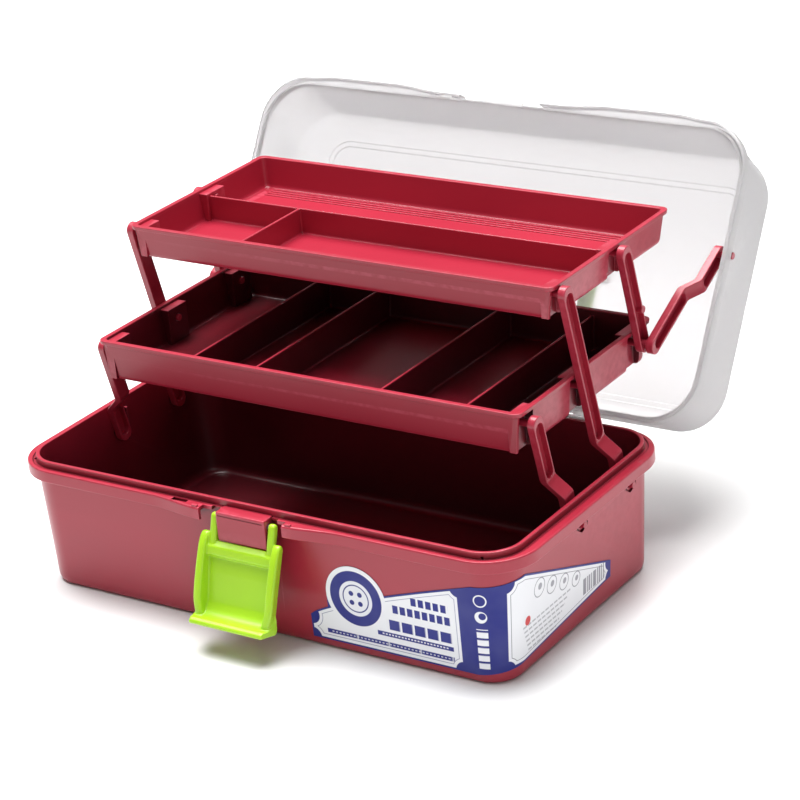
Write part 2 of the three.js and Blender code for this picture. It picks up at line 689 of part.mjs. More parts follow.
const lidPinOpen = opened(LID_PIN);
const linkRun = { y: LINK_TRAY_Y - lidPinOpen.y, z: LOWER_PIVOT_Z - lidPinOpen.z };
const linkLength = Math.hypot(linkRun.y, linkRun.z);
const linkTurn = Math.atan2(-linkRun.y, linkRun.z);

function lidLink(side) {
  const { start, end } = LINK_JOGGLE;
  const atLid = channel(LINK_OUTER_X, 0, start, true);
  const atTray = channel(LINK_INNER_X, end, linkLength, true);
  const step = crank(LINK_OUTER_X, LINK_INNER_X, start, end);
  const pin = rod([LINK_OUTER_X + BITE, LID_PIN_TIP], 0, 0, PIN);
  return onSide(join(atLid, atTray, step, pin), side);
}

// ---------------------------------------------------------------- latch and handle
function polygon(points) {
  return new THREE.Shape(points.map(([y, z]) => new THREE.Vector2(y, z)));
}

// The latch's side rail, a plate that narrows towards the pin.
function latchRail() {
  const { width, depth, top, shoulder } = LATCH_RAIL;
  const { half, length, face } = LATCH;
  const shape = new THREE.Shape();
  shape.moveTo(face, top);
  shape.lineTo(face, -length);
  shape.lineTo(-depth, -length);
  shape.lineTo(-depth, shoulder);
  shape.quadraticCurveTo(-depth, top - depth, face - 2 * LATCH.panel, top);
  shape.quadraticCurveTo(-face / 2, top / 2, face, top);
  return plate(shape, [half - width, half]);
}

function latch() {
  const { half, length, face, panel, panelTop } = LATCH;
  const { depth, drop, thick } = LATCH_LIP;
  const rail = latchRail();
  const web = block([-half, half], [face - panel, face], [-length, panelTop]);
  const bar = polygon([
    [face, LATCH_BAR.top], [0, LATCH_BAR.top], [-LATCH_BAR.depth, LATCH_BAR.brow],
    [-LATCH_BAR.depth, LATCH_BAR.foot], [face - panel, LATCH_BAR.foot - 1], [face, LATCH_BAR.foot],
  ]);
  const lip = polygon([
    [face, -length + 1], [thick - depth, -length + 1], [-depth, -length - 1],
    [-depth, -length - drop], [face / 2, -length - drop / 2],
  ]);
  const prong = plate(slot(PRONG.width, -PRONG.reach, 0), [PRONG.from, PRONG.to]);
  const solid = join(
    rail,
    mirrored(rail),
    web,
    plate(bar, [-LATCH_BAR.half, LATCH_BAR.half]),
    plate(lip, [-LATCH_LIP.half, LATCH_LIP.half]),
    prong,
    mirrored(prong),
  );
  return cut(solid, rod([-half, half], 0, 0, LATCH_PIN + GAP));
}

function carryHandle() {
  const { half, bar, thick, reach, pin, heel } = HANDLE;
  const [low, high] = [-thick / 2, thick / 2];
  const leg = block([half - bar, half], [-heel, reach], [low, high]);
  const along = [reach - GRIP.back, reach + GRIP.front];
  const grip = block([-half, half], along, [low - GRIP.low, high + GRIP.high]);
  const stub = rod([half - BITE, half + BOSS.width - 1], 0, 0, pin);
  return join(leg, mirrored(leg), grip, stub, mirrored(stub));
}

// ---------------------------------------------------------------- label
// The label runs along the front, round the corner and along the end. Its edges taper
// away from the corner towards both ends, and a round emblem stands up on the front.
function labelStations() {
  const run = (kind, from) => Array.from({ length: LABEL_STEPS[kind] + 1 - from }, (_, i) => {
    return { kind, t: (i + from) / LABEL_STEPS[kind] };
  });
  return [...run("front", 0), ...run("corner", 1), ...run("side", 1)];
}

function labelEdges({ kind, t }) {
  const { lerp } = THREE.MathUtils;
  if (kind === "corner") {
    return [lerp(LABEL_LOW.front, LABEL_LOW.side, t), lerp(LABEL_HIGH.front, LABEL_HIGH.side, t)];
  }
  if (kind === "side") {
    return [lerp(LABEL_LOW.side, LABEL_LOW.end, t), lerp(LABEL_HIGH.side, LABEL_HIGH.end, t)];
  }
  const x = lerp(LABEL.frontX, BROW.halfX - BROW.radius, t) - EMBLEM.x;
  const crest = Math.abs(x) < EMBLEM.radius ? EMBLEM.z + Math.sqrt(EMBLEM.radius ** 2 - x * x) : 0;
  return [LABEL_LOW.front, Math.max(lerp(LABEL_HIGH.start, LABEL_HIGH.front, t ** 0.8), crest)];
}

// A point of the label, held off the base's wall.
function labelPoint({ kind, t }, z, out) {
  const wall = baseLevel(z, -out);
  const corner = { x: wall.halfX - wall.radius, y: wall.front + wall.radius };
  if (kind === "front") {
    return new THREE.Vector3(THREE.MathUtils.lerp(LABEL.frontX, corner.x, t), wall.front, z);
  }
  if (kind === "side") {
    return new THREE.Vector3(wall.halfX, THREE.MathUtils.lerp(corner.y, LABEL.sideY, t), z);
  }
  const angle = (t - 1) * (Math.PI / 2);
  const reach = new THREE.Vector3(Math.cos(angle), Math.sin(angle), 0).multiplyScalar(wall.radius);
  return reach.add(new THREE.Vector3(corner.x, corner.y, z));
}

function cornerLabel() {
  const { up } = LABEL_STEPS;
  return loft(labelStations().map((station) => {
    const [low, high] = labelEdges(station);
    const heights = Array.from({ length: up + 1 }, (_, i) => THREE.MathUtils.lerp(low, high, i / up));
    const inner = heights.map((z) => labelPoint(station, z, LABEL.gap));
    const outer = heights.map((z) => labelPoint(station, z, LABEL.gap + LABEL.thick));
    return [...inner, ...outer.reverse()];
  }));
}

// ---------------------------------------------------------------- assembly
const box = new THREE.Group();
box.add(node("base_shell", baseShell(), burgundy));
box.add(node("corner_label", cornerLabel(), film));

const latchNode = node("latch", latch(), lime);
latchNode.position.set(0, LATCH_PIVOT.y, LATCH_PIVOT.z);
latchNode.rotation.x = -LATCH_LEAN;
box.add(latchNode);
const latchPin = rod([-LATCH_PIN_REACH, LATCH_PIN_REACH], LATCH_PIVOT.y, LATCH_PIVOT.z, LATCH_PIN);
box.add(node("latch_pin", latchPin, steel));

const hingePinReach = KNUCKLE.half + GAP + EAR.width + 1;
for (const [side, x] of Object.entries(HINGE_CENTRES)) {
  const pin = rod([x - hingePinReach, x + hingePinReach], HINGE.y, HINGE.z, HINGE.pin);
  box.add(node(`hinge_pin_${side}`, pin, steel));
}

// The lid and its handle are shaped closed and swung open about the hinge line.
const lidGroup = new THREE.Group();
lidGroup.position.set(0, HINGE.y, HINGE.z);
lidGroup.rotation.x = -LID_OPEN;
lidGroup.add(node("lid_shell", lidShell().translate(0, -HINGE.y, -HINGE.z), milky));
const handle = node("carry_handle", carryHandle(), lime);
handle.position.set(0, -HINGE.y, HANDLE_AXIS - HINGE.z);
lidGroup.add(handle);
box.add(lidGroup);

const lower = node("lower_tray", lowerTray(), burgundy);
lower.position.set(0, LOWER.y, LOWER.rim);
const upper = node("upper_tray", upperTray(), burgundy);
upper.position.set(0, UPPER.y, UPPER.rim);
box.add(lower, upper);

for (const [name, side] of [["right", RIGHT], ["left", LEFT]]) {
  const fullLength = lowerLength + upperLength;
  const frontArm = crankedArm(lowerLength, [lowerLength], side);
  const longArm = crankedArm(fullLength, [lowerLength, fullLength], side);
  const leaning = [
    ["front_arm", frontArm, BASE_PIVOTS.front, BASE_PIVOTS.z],
    ["long_arm", longArm, BASE_PIVOTS.rear, BASE_PIVOTS.z],
    ["upper_arm", upperArm(side), LINK_TRAY_Y, LOWER_PIVOT_Z],
  ];
  for (const [kind, geometry, y, z] of leaning) {
    const arm = node(`${kind}_${name}`, geometry, burgundy);
    arm.position.set(0, y, z);
    arm.rotation.x = LEAN;
    box.add(arm);
  }
  const link = node(`lid_link_${name}`, lidLink(side), burgundy);
  link.position.set(0, lidPinOpen.y, lidPinOpen.z);
  link.rotation.x = linkTurn;
  box.add(link);
}

export default box;
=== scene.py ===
"""A plastic sewing box with two trays that rise on linked arms as its lid opens.

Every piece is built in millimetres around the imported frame, and scaled to metres as its
mesh is made. +X runs to the right along the box, +Y to its back and +Z up.
"""

import json
import math

import bmesh
import bpy
from bpy.props import FloatProperty, FloatVectorProperty, IntProperty, PointerProperty
from mathutils import Matrix, Vector


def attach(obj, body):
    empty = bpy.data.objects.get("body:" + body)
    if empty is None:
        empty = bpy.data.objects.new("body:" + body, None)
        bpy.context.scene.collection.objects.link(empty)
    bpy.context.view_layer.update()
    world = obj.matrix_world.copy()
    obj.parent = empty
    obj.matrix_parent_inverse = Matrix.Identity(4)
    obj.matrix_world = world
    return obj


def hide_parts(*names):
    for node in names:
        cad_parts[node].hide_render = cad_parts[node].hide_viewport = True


bl_info = {
    "name": "Sewing box with trays",
    "version": (1, 0, 0),
    "blender": (4, 5, 0),
    "location": "3D View > Sidebar > Sewing Box",
    "description": "Builds a cantilever sewing box, its finishes and a plain studio",
    "category": "Add Mesh",
}

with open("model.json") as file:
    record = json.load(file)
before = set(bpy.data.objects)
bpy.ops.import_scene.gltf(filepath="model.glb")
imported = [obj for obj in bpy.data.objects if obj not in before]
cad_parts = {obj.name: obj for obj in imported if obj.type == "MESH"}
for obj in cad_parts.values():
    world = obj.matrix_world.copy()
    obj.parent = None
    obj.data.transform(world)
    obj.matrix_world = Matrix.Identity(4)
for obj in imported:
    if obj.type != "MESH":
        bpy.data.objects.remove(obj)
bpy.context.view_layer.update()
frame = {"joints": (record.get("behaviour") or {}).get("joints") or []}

MM = 0.001
RIGHT, LEFT = 1, -1
SIDES = {"right": RIGHT, "left": LEFT}
QUARTER = math.pi / 2
FINISH = "_finish"


def pivot(joint):
    """The (y, z) place of a joint's axis at rest, in millimetres."""
    place = next(j["pos_m"] for j in frame["joints"] if j["name"] == joint)
    return place[1] / MM, place[2] / MM


# ------------------------------------------------------------ dimensions, millimetres
# Half length, half depth and corner radius of the base's outer wall and of its flange.
FOOT = (153.0, 79.4, 17.0)
BROW = (158.0, 81.6, 21.0)
FLANGE = (165.0, 86.4, 29.0)
BROW_Z = 72.3
FLANGE_TOP = 74.3
LIP_TOP = 77.5
SKIRT_HEIGHT = 7.0
SKIRT_WALL = 1.8
FOOT_ROUND = 5.0
NOTCH_HALF = 27.2
NOTCH_REAR = -85.6
PRONG_SLOT = (15.9, 21.6)
PRONG_SLOT_REAR = -82.9
NOTCH_FRONT = -97.0
NIB = (28.8, 32.4)
NIB_DEPTH = (-89.4, -87.6)
DRAIN_DEPTH = 1.4
DRAINS = (
    ((-155, -149.5), (-74.5, -72.3)),
    ((140, 145.5), (-80.4, -78.2)),
    ((-48, -38), (-87, -84)),
)
RIB_X = (153.4, 156.2)
RIB_Y = (8, 9.6)
RIB_Z = (52, 72)
WEDGE = ((-7, -0.6), (-1, -4.6), (5.2, -2.4), (4.6, 3.6))
WEDGE_DEPTH = 2.6
COLLAR = (154.2, 155.8, 3.6)
KEEPER_HALF = 16.0
KEEPER_FRONT = -90.2
KEEPER_FOOT = 57.5
# The front's swells and hollows: depth, reach either side of the middle, and blend.
BASE_WAVES = ((-3.8, 62.0, 34.0),)
LID_WAVES = ((-1.6, 136.0, 20.0), (2.2, 74.0, 34.0))

# The closed lid: half length, front, rear and corner radius at each height.
LID_FOOT = 74.6
LID_TOP = 129.4
LID_ROUND = 15.0
LID_SKIRT = (163.4, -83.9, 85.1, 28.0)
LID_SHOULDER = (163.0, -76.8, 85.0, 27.0)
LID_CROWN = (146.0, -61.0, 73.4, 15.0)
LID_SKIRT_WALL = 1.4
LID_LIP_RISE = 1.2
LID_LIP_INSET = 0.4
CROWN_RISE = 1.2
CROWN_EASE = 0.42

HINGE_Y, HINGE_Z = pivot("lid_hinge")
HINGE_RADIUS = 4.2
HINGE_PIN = 2.0
HINGE_X = 100.0
KNUCKLE_HALF = 7.0
EAR_WIDTH = 4.0
LID_OPEN = math.radians(122.4)

# Trays: half length, half depth, depth, middle in Y and rim height.
LOWER = (138.8, 71.6, 24.4, 44.9, 129.6)
UPPER = (138.8, 64.7, 19.6, 78.1, 184.3)
RIM_WIDTH = 1.6
RIM_HEIGHT = 2.4
TRAY_DRAFT = 2.6
TRAY_RADIUS = 4.5
DIVIDER_DROP = 3.0
LOWER_DIVIDERS = (-77.0, -34.5, 47.5, 101.5)
LONG_DIVIDER_Y = 0.5
SHORT_DIVIDER_X = -66.0
FLOOR_RIB_PITCH = 3.0
FLOOR_RIBS = 4
POCKET_HALF = 7.0
POCKET_X = 131.4
POCKET_WALL = 1.6
POCKET_DROP = 3.2

# The linkage: all its arms lean forward alike.
LEAN = math.radians(14.0)
FRONT_FOOT = pivot("front_arm_right_pivot")
REAR_FOOT = pivot("long_arm_right_pivot")
TRAY_REAR = pivot("upper_arm_right_pivot")
LID_PIN = pivot("lid_link_right_pivot")
LOWER_RISE = 61.0
UPPER_RISE = 57.5
LOWER_LENGTH = LOWER_RISE / math.cos(LEAN)
UPPER_LENGTH = UPPER_RISE / math.cos(LEAN)
LINK_LENGTH = math.hypot(TRAY_REAR[0] - LID_PIN[0], TRAY_REAR[1] - LID_PIN[1])
LINK_TURN = math.atan2(LID_PIN[0] - TRAY_REAR[0], TRAY_REAR[1] - LID_PIN[1])
ARM_INNER_X = 139.5
ARM_OUTER_X = 148.4
LINK_INNER_X = 146.0
LINK_OUTER_X = 153.0
ARM_WEB = 1.0
ARM_RAIL = 1.15
CRANK = (18.0, 29.0)
LINK_CRANK = (24.0, 34.0)
PIN = 2.0
CLEARANCE = 0.35
TRAY_PIN_TIP = 128.6
WALL_PIN_TIP = 158.9
LID_PIN_TIP = 164.6

LATCH_Y, LATCH_Z = pivot("latch_hinge")
LATCH_LEAN = math.radians(17.0)
LATCH_HALF = 26.0
LATCH_LENGTH = 55.0
LATCH_PIN = 1.5
PRONG = (16.5, 21.0)
LATCH_PIN_REACH = 19.6
HANDLE_HALF = 56.0
HANDLE_BAR = 8.0
HANDLE_REACH = 34.0
HANDLE_Z = LID_TOP + CROWN_RISE + 4.5

# The label: where it starts on the front, where it ends on the right, and its emblem.
LABEL_FRONT_X = 33.0
LABEL_SIDE_Y = 28.0
LABEL_THICK = 0.25
LABEL_GAP = 0.08
LABEL_CORNER = 30.6
EMBLEM = (64.0, 34.6, 19.0)
FRONT_PANEL = (33.0, 129.5)
SIDE_PANEL = (154.5, 256.2)


# ------------------------------------------------------------ settings shown to a user
class SewingBoxSizes(bpy.types.PropertyGroup):
    """Wall sizes and smoothness of the sewing box."""

    wall: FloatProperty(
        name="Base wall", description="Thickness of the base's wall",
        default=0.0022, min=0.0015, max=0.003, unit="LENGTH")
    lid_wall: FloatProperty(
        name="Lid wall", description="Thickness of the lid's wall",
        default=0.0018, min=0.0012, max=0.0025, unit="LENGTH")
    tray_wall: FloatProperty(
        name="Tray wall", description="Thickness of the trays' walls and dividers",
        default=0.0016, min=0.0012, max=0.0022, unit="LENGTH")
    arm_width: FloatProperty(
        name="Arm width", description="Width of the arms across their run",
        default=0.0094, min=0.007, max=0.0094, unit="LENGTH")
    arm_thick: FloatProperty(
        name="Arm thickness", description="Thickness of the arms along the box",
        default=0.0045, min=0.003, max=0.0045, unit="LENGTH")
    edge: FloatProperty(
        name="Edge rounding", description="Rounding of small moulded edges",
        default=0.0004, min=0.0001, max=0.0006, unit="LENGTH")
    corner_steps: IntProperty(
        name="Corner steps", description="Facets round each upright corner",
        default=14, min=6, max=32)
    latch_grain: FloatProperty(
        name="Latch detail", description="Size of the smallest detail on latch and handle",
        default=0.0004, min=0.0003, max=0.001, unit="LENGTH")


class SewingBoxFinishes(bpy.types.PropertyGroup):
    """Colours and gloss of the sewing box."""

    burgundy: FloatVectorProperty(
        name="Burgundy", description="Colour of the base, trays and arms",
        default=(0.33, 0.014, 0.033), size=3, min=0.0, max=1.0, subtype="COLOR")
    lime: FloatVectorProperty(
        name="Lime", description="Colour of the latch and the carry handle",
        default=(0.35, 0.61, 0.012), size=3, min=0.0, max=1.0, subtype="COLOR")
    milky: FloatVectorProperty(
        name="Milky white", description="Colour of the lid",
        default=(0.72, 0.71, 0.715), size=3, min=0.0, max=1.0, subtype="COLOR")
    ink: FloatVectorProperty(
        name="Label ink", description="Colour of the label's print",
        default=(0.012, 0.018, 0.2), size=3, min=0.0, max=1.0, subtype="COLOR")
    paper: FloatVectorProperty(
        name="Label paper", description="Colour of the label's ground",
        default=(0.84, 0.85, 0.88), size=3, min=0.0, max=1.0, subtype="COLOR")
    steel: FloatVectorProperty(
        name="Steel", description="Colour of the hinge pins",
        default=(0.6, 0.61, 0.63), size=3, min=0.0, max=1.0, subtype="COLOR")
    gloss: FloatProperty(
        name="Roughness", description="Roughness of the burgundy plastic",
        default=0.33, min=0.05, max=1.0, subtype="FACTOR")


class SewingBoxStudio(bpy.types.PropertyGroup):
    """Floor, lamps and camera."""

    floor: FloatVectorProperty(
        name="Floor", description="Colour of the floor",
        default=(0.79, 0.79, 0.79), size=3, min=0.0, max=1.0, subtype="COLOR")
    floor_size: FloatProperty(
        name="Floor size", description="Length of the floor's side",
        default=14.0, min=2.0, unit="LENGTH")
    sky: FloatProperty(
        name="Sky", description="Strength of the light from all round",
        default=0.27, min=0.0)
    key: FloatProperty(
        name="Key lamp", description="Power of the large lamp overhead",
        default=300.0, min=0.0, unit="POWER")
    side: FloatProperty(
        name="Side lamp", description="Power of the lamp at the right",
        default=5.0, min=0.0, unit="POWER")
    lens: FloatProperty(
        name="Lens", description="Focal length of the camera in millimetres",
        default=125.08, min=20.0)
    distance: FloatProperty(
        name="Camera distance", description="From the camera to its target",
        default=1.64769, min=0.5, unit="LENGTH")


# ------------------------------------------------------------ meshes
def mix(a, b, t):
    """A blend of two tuples of numbers."""
    return tuple(p + (q - p) * t for p, q in zip(a, b))


def clamp(value, low=0.0, high=1.0):
    """The value held between two limits."""
    return min(max(value, low), high)


def smooth(t):
    """A soft step from 0 to 1."""
    t = clamp(t)
    return t * t * (3 - 2 * t)


def piece(name, vertices, faces):
    """A mesh object from millimetre places, its faces turned outward."""
    data = bpy.data.meshes.new(name)
    data.from_pydata([Vector(v) * MM for v in vertices], [], faces)
    work = bmesh.new()
    work.from_mesh(data)
    bmesh.ops.recalc_face_normals(work, faces=work.faces)
    work.to_mesh(data)
    work.free()
    made = bpy.data.objects.new(name, data)
    bpy.context.scene.collection.objects.link(made)
    return made


def loft(loops, name="part"):
    """A closed skin over a run of closed loops, capped at both ends."""
    count = len(loops[0])
    vertices = [point for loop in loops for point in loop]
    faces = [tuple(range(count)), tuple(range(len(vertices) - count, len(vertices)))]
    for row in range(len(loops) - 1):
        for i in range(count):
            a = row * count + i
            b = row * count + (i + 1) % count
            faces.append((a, b, b + count, a + count))
    return piece(name, vertices, faces)


def eased(low, high, ease, steps=3):
    """Places from low to high with the inset of each, for a plate with rounded edges."""
    turns = [QUARTER * i / steps for i in range(steps + 1)]
    first = [(low + ease * (1 - math.sin(a)), ease * (1 - math.cos(a))) for a in turns]
    last = [(high - ease * (1 - math.sin(a)), ease * (1 - math.cos(a))) for a in turns]
    return first[::-1] + last


def circle(x, y, z, radius, sides=28):
    """A loop in the (y, z) plane."""
    turns = [2 * math.pi * i / sides for i in range(sides)]
    return [(x, y + radius * math.cos(a), z + radius * math.sin(a)) for a in turns]


def rod(x_from, x_to, y, z, radius, ease=0.3):
    """A round pin along X with rounded ends."""
    low, high = sorted((x_from, x_to))
    return loft([circle(x, y, z, radius - inset) for x, inset in eased(low, high, ease)])


def slot_loop(x, width, z_from, z_to, inset=0.0, steps=12):
    """A loop with round ends, in the (y, z) plane."""
    radius = width / 2 - inset
    turns = [math.pi * i / steps for i in range(steps + 1)]
    top = [(x, radius * math.cos(a), z_to + radius * math.sin(a)) for a in turns]
    foot = [(x, -radius * math.cos(a), z_from - radius * math.sin(a)) for a in turns]
    return top + foot


def arc(y, z, radius, start, end, steps=10):
    """Points round an arc in the (y, z) plane."""
    turns = [start + (end - start) * i / steps for i in range(steps + 1)]
    return [(y + radius * math.cos(a), z + radius * math.sin(a)) for a in turns]


def bend(start, control, end, steps=10):
    """Points along a curve that leaves start and reaches end, both towards control."""
    return [
        mix(mix(start, control, i / steps), mix(control, end, i / steps), i / steps)
        for i in range(steps + 1)
    ]


def plate(outline, x_from, x_to, ease=0.4, segments=3):
    """A plate between two X places with an outline in (y, z), its sharp edges rounded."""
    low, high = sorted((x_from, x_to))
    made = loft([[(x, y, z) for y, z in outline] for x in (low, high)])
    if ease:
        round_edges(made, ease, segments)
    return made


def block(xs, ys, zs, ease=0.4, segments=3):
    """A block with rounded edges."""
    outline = [(ys[0], zs[0]), (ys[1], zs[0]), (ys[1], zs[1]), (ys[0], zs[1])]
    return plate(outline, xs[0], xs[1], ease, segments)


def round_edges(made, ease, segments=3):
    """Rounds a piece's sharp edges."""
    work = bmesh.new()
    work.from_mesh(made.data)
    sharp = [e for e in work.edges if len(e.link_faces) == 2 and e.calc_face_angle() > 0.6]
    bmesh.ops.bevel(
        work, geom=sharp, offset=ease * MM, segments=segments, profile=0.5,
        affect="EDGES", clamp_overlap=True)
    work.to_mesh(made.data)
    work.free()


def settle(made):
    """Applies a piece's modifiers."""
    graph = bpy.context.evaluated_depsgraph_get()
    done = bpy.data.meshes.new_from_object(made.evaluated_get(graph))
    old = made.data
    made.modifiers.clear()
    made.data = done
    bpy.data.meshes.remove(old)


def discard(made):
    """Removes a helper piece and its mesh."""
    data = made.data
    bpy.data.objects.remove(made)
    bpy.data.meshes.remove(data)


def combine(target, tools, operation):
    """Joins tools to a piece or cuts them from it, one after the other."""
    for tool in tools:
        step = target.modifiers.new("step", "BOOLEAN")
        step.operation = operation
        step.solver = "MANIFOLD"
        step.object = tool
    settle(target)
    for tool in tools:
        discard(tool)
    return target


def join(target, *tools):
    """A piece with tools joined to it."""
    return combine(target, tools, "UNION")


def cut(target, *tools):
    """A piece with tools cut from it."""
    return combine(target, tools, "DIFFERENCE")


def grouped(*parts):
    """Separate parts as one mesh."""
    work = bmesh.new()
    for part in parts:
        work.from_mesh(part.data)
    work.to_mesh(parts[0].data)
    work.free()
    for part in parts[1:]:
        discard(part)
    return parts[0]


def mirrored(made):
    """A piece turned into its twin on the left."""
    made.data.transform(Matrix.Scale(-1, 4, Vector((1, 0, 0))))
    made.data.flip_normals()
    return made


def on_side(made, side):
    """A piece as built for the right, or its twin for the left."""
    return made if side == RIGHT else mirrored(made)


def placed(made, turn, y, z):
    """A piece turned about X and then moved."""
    move = Matrix.Translation(Vector((0, y, z)) * MM)
    made.data.transform(move @ Matrix.Rotation(turn, 4, "X"))
    return made


def swung(made):
    """A piece of the closed lid, swung open about the hinge line."""
    made.data.transform(Matrix.Translation(Vector((0, -HINGE_Y, -HINGE_Z)) * MM))
    return placed(made, -LID_OPEN, HINGE_Y, HINGE_Z)


def moulded(parts, grain, passes=6, share=0.3):
    """Parts flowed into one soft-edged body."""
    made = grouped(*parts)
    flow = made.modifiers.new("flow", "REMESH")
    flow.mode = "VOXEL"
    flow.voxel_size = grain
    even = made.modifiers.new("even", "SMOOTH")
    even.factor = 0.5
    even.iterations = passes
    thin = made.modifiers.new("thin", "DECIMATE")
    thin.ratio = share
    settle(made)
    return made


def finished(made, name, body, nodes, material, crease=34.0):
    """Names a piece, smooths it, dresses it and hands it to its body."""
    made.name = name
    made.data.name = name
    work = bmesh.new()
    work.from_mesh(made.data)
    bmesh.ops.remove_doubles(work, verts=work.verts, dist=0.00001)
    bmesh.ops.dissolve_degenerate(work, dist=0.000005, edges=work.edges)
    limit = math.radians(crease)
    for face in work.faces:
        face.smooth = True
    for edge in work.edges:
        edge.smooth = len(edge.link_faces) == 2 and edge.calc_face_angle() < limit
    work.to_mesh(made.data)
    work.free()
    even = made.modifiers.new("shading", "WEIGHTED_NORMAL")
    even.keep_sharp = True
    even.weight = 60
    made.data.materials.clear()
    made.data.materials.append(material)
    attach(made, body)
    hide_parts(*nodes)
    return made


# ------------------------------------------------------------ levels and profiles
# A level is (half length, front, rear, corner radius, height, share of the front's wave).
def ring(lvl, waves, steps, run=72):
    """One level as a loop of points, anticlockwise seen from above."""
    half_x, front, rear, radius, z, share = lvl
    reach = half_x - radius
    points = []
    corners = (
        (reach, rear - radius, 0), (-reach, rear - radius, 1),
        (-reach, front + radius, 2), (reach, front + radius, 3))
    for x, y, quarter in corners:
        if waves and quarter == 3:
            points.extend(front_run(reach, front, z, share, waves, run))
        for i in range(steps + 1):
            turn = QUARTER * (quarter + i / steps)
            points.append((x + radius * math.cos(turn), y + radius * math.sin(turn), z))
    return points


def front_run(reach, front, z, share, waves, run):
    """The front side of a level between its corners, with its swells."""
    points = []
    for i in range(1, run):
        x = reach * (2 * i / run - 1)
        rise = sum(depth * smooth((wide - abs(x)) / blend) for depth, wide, blend in waves)
        points.append((x, front + share * rise, z))
    return points


def filleted(corners, steps=5):
    """A run of levels from a profile's corners, each with its rounding."""
    path = []
    for i, (point, ease) in enumerate(corners):
        if not ease:
            path.append(point)
            continue
        start, end = (toward(point, corners[i + way][0], ease) for way in (-1, 1))
        path.extend(bend(start, point, end, steps))
    return path


def toward(point, other, distance):
    """A level that far from one level towards another, at most halfway."""
    run = math.hypot(other[1] - point[1], other[4] - point[4], other[0] - point[0])
    return mix(point, other, min(0.49, distance / max(run, 0.001)))


def shell(corners, waves, steps, name):
    """A closed body from a profile's corners."""
    return loft([ring(lvl, waves, steps) for lvl in filleted(corners)], name)


def outline_level(sizes, z, inset=0.0, share=0.0):
    """A level from (half length, front, rear, radius), drawn in by an inset."""
    half_x, front, rear, radius = sizes
    return half_x - inset, front + inset, rear - inset, max(radius - inset, 0.6), z, share


def base_level(z, inset=0.0):
    """The base's wall at one height."""
    half_x, half_y, radius = mix(FOOT, BROW, clamp(z / BROW_Z))
    return outline_level((half_x, -half_y, half_y, radius), z, inset)


def flange_level(z, inset=0.0):
    """The flange's outline at one height."""
    half_x, half_y, radius = FLANGE
    return outline_level((half_x, -half_y, half_y, radius), z, inset, 1.0)


def lid_level(z, inset=0.0):
    """The closed lid's wall between its skirt and its shoulder."""
    low, high = LID_FOOT + SKIRT_HEIGHT, LID_TOP - LID_ROUND
    return outline_level(mix(LID_SKIRT, LID_SHOULDER, clamp((z - low) / (high - low))), z, inset)


def crown_level(turn, inset=0.0):
    """The round from the lid's shoulder to its crown, turn from 0 to a right angle."""
    sizes = mix(LID_SHOULDER, LID_CROWN, 1 - math.cos(turn))
    ease = CROWN_EASE * math.sin(2 * turn)
    z = LID_TOP - LID_ROUND + (LID_ROUND - inset) * math.sin(turn) - ease
    return outline_level(sizes, z, inset * math.cos(turn))


def crown_step(extra, z):
    """The crown's panel, drawn in by an extra inset."""
    return outline_level(LID_CROWN, z, extra)


# ------------------------------------------------------------ base
def base_body(s):
    """The base's wall, floor, lip and rolled flange."""
    wall = s.wall / MM
    skirt_foot = FLANGE_TOP - SKIRT_HEIGHT
    corners = [
        (base_level(0.9, 16), 0), (base_level(0.9, 13.4), 0.4), (base_level(0, 12.4), 0.4),
        (base_level(0), FOOT_ROUND), (base_level(BROW_Z), 0.9),
        (flange_level(BROW_Z, SKIRT_WALL), 0.7), (flange_level(skirt_foot, SKIRT_WALL), 0.6),
        (flange_level(skirt_foot), 0.8), (flange_level(FLANGE_TOP), 1.4),
        (base_level(FLANGE_TOP, -2.4), 0.3), (base_level(FLANGE_TOP - 0.7, -1.8), 0.3),
        (base_level(FLANGE_TOP - 0.7), 0.3),
        (base_level(LIP_TOP), 0.7), (base_level(LIP_TOP, wall), 0.7),
        (base_level(wall, wall), FOOT_ROUND + 1), (base_level(wall, wall + 13), 0),
    ]
    return shell(corners, BASE_WAVES, s.corner_steps, "base_shell")


def hinge_ears(ease):
    """The four ears that hold the hinge pins behind the base."""
    outline = [(80.8, 50.0), (HINGE_Y, HINGE_Z - HINGE_RADIUS)]
    outline += arc(HINGE_Y, HINGE_Z, HINGE_RADIUS, -QUARTER, QUARTER, 16)[1:]
    outline += [(86.0, FLANGE_TOP - 0.1), (80.8, FLANGE_TOP - 0.1)]
    near = KNUCKLE_HALF + CLEARANCE
    return [
        plate(outline, centre + way * near, centre + way * (near + EAR_WIDTH), ease)
        for centre in (HINGE_X, -HINGE_X)
        for way in (RIGHT, LEFT)
    ]


def keeper(ease):
    """The hollow keeper between the latch's prongs, with a small step at its top."""
    rear = -BROW[1] + 0.8
    body = block((-KEEPER_HALF, KEEPER_HALF), (KEEPER_FRONT, rear), (KEEPER_FOOT, FLANGE_TOP),
                 2 * ease)
    ledge = block((-KEEPER_HALF + 1.6, KEEPER_HALF - 1.6), (KEEPER_FRONT - 1, KEEPER_FRONT + 0.3),
                  (FLANGE_TOP - 2.3, FLANGE_TOP - 1.6), 0)
    wall = 2.2
    hollow = block((wall - KEEPER_HALF, KEEPER_HALF - wall), (KEEPER_FRONT + wall, rear - 1.8),
                   (KEEPER_FOOT - 1, FLANGE_TOP - wall), ease)
    return cut(body, ledge, hollow)


def guide_ribs(ease):
    """Upright ribs inside the end walls that keep the arms off them."""
    return [
        on_side(block(RIB_X, (y + RIB_Y[0], y + RIB_Y[1]), RIB_Z, ease), side)
        for y in (FRONT_FOOT[0], REAR_FOOT[0])
        for side in (RIGHT, LEFT)
    ]


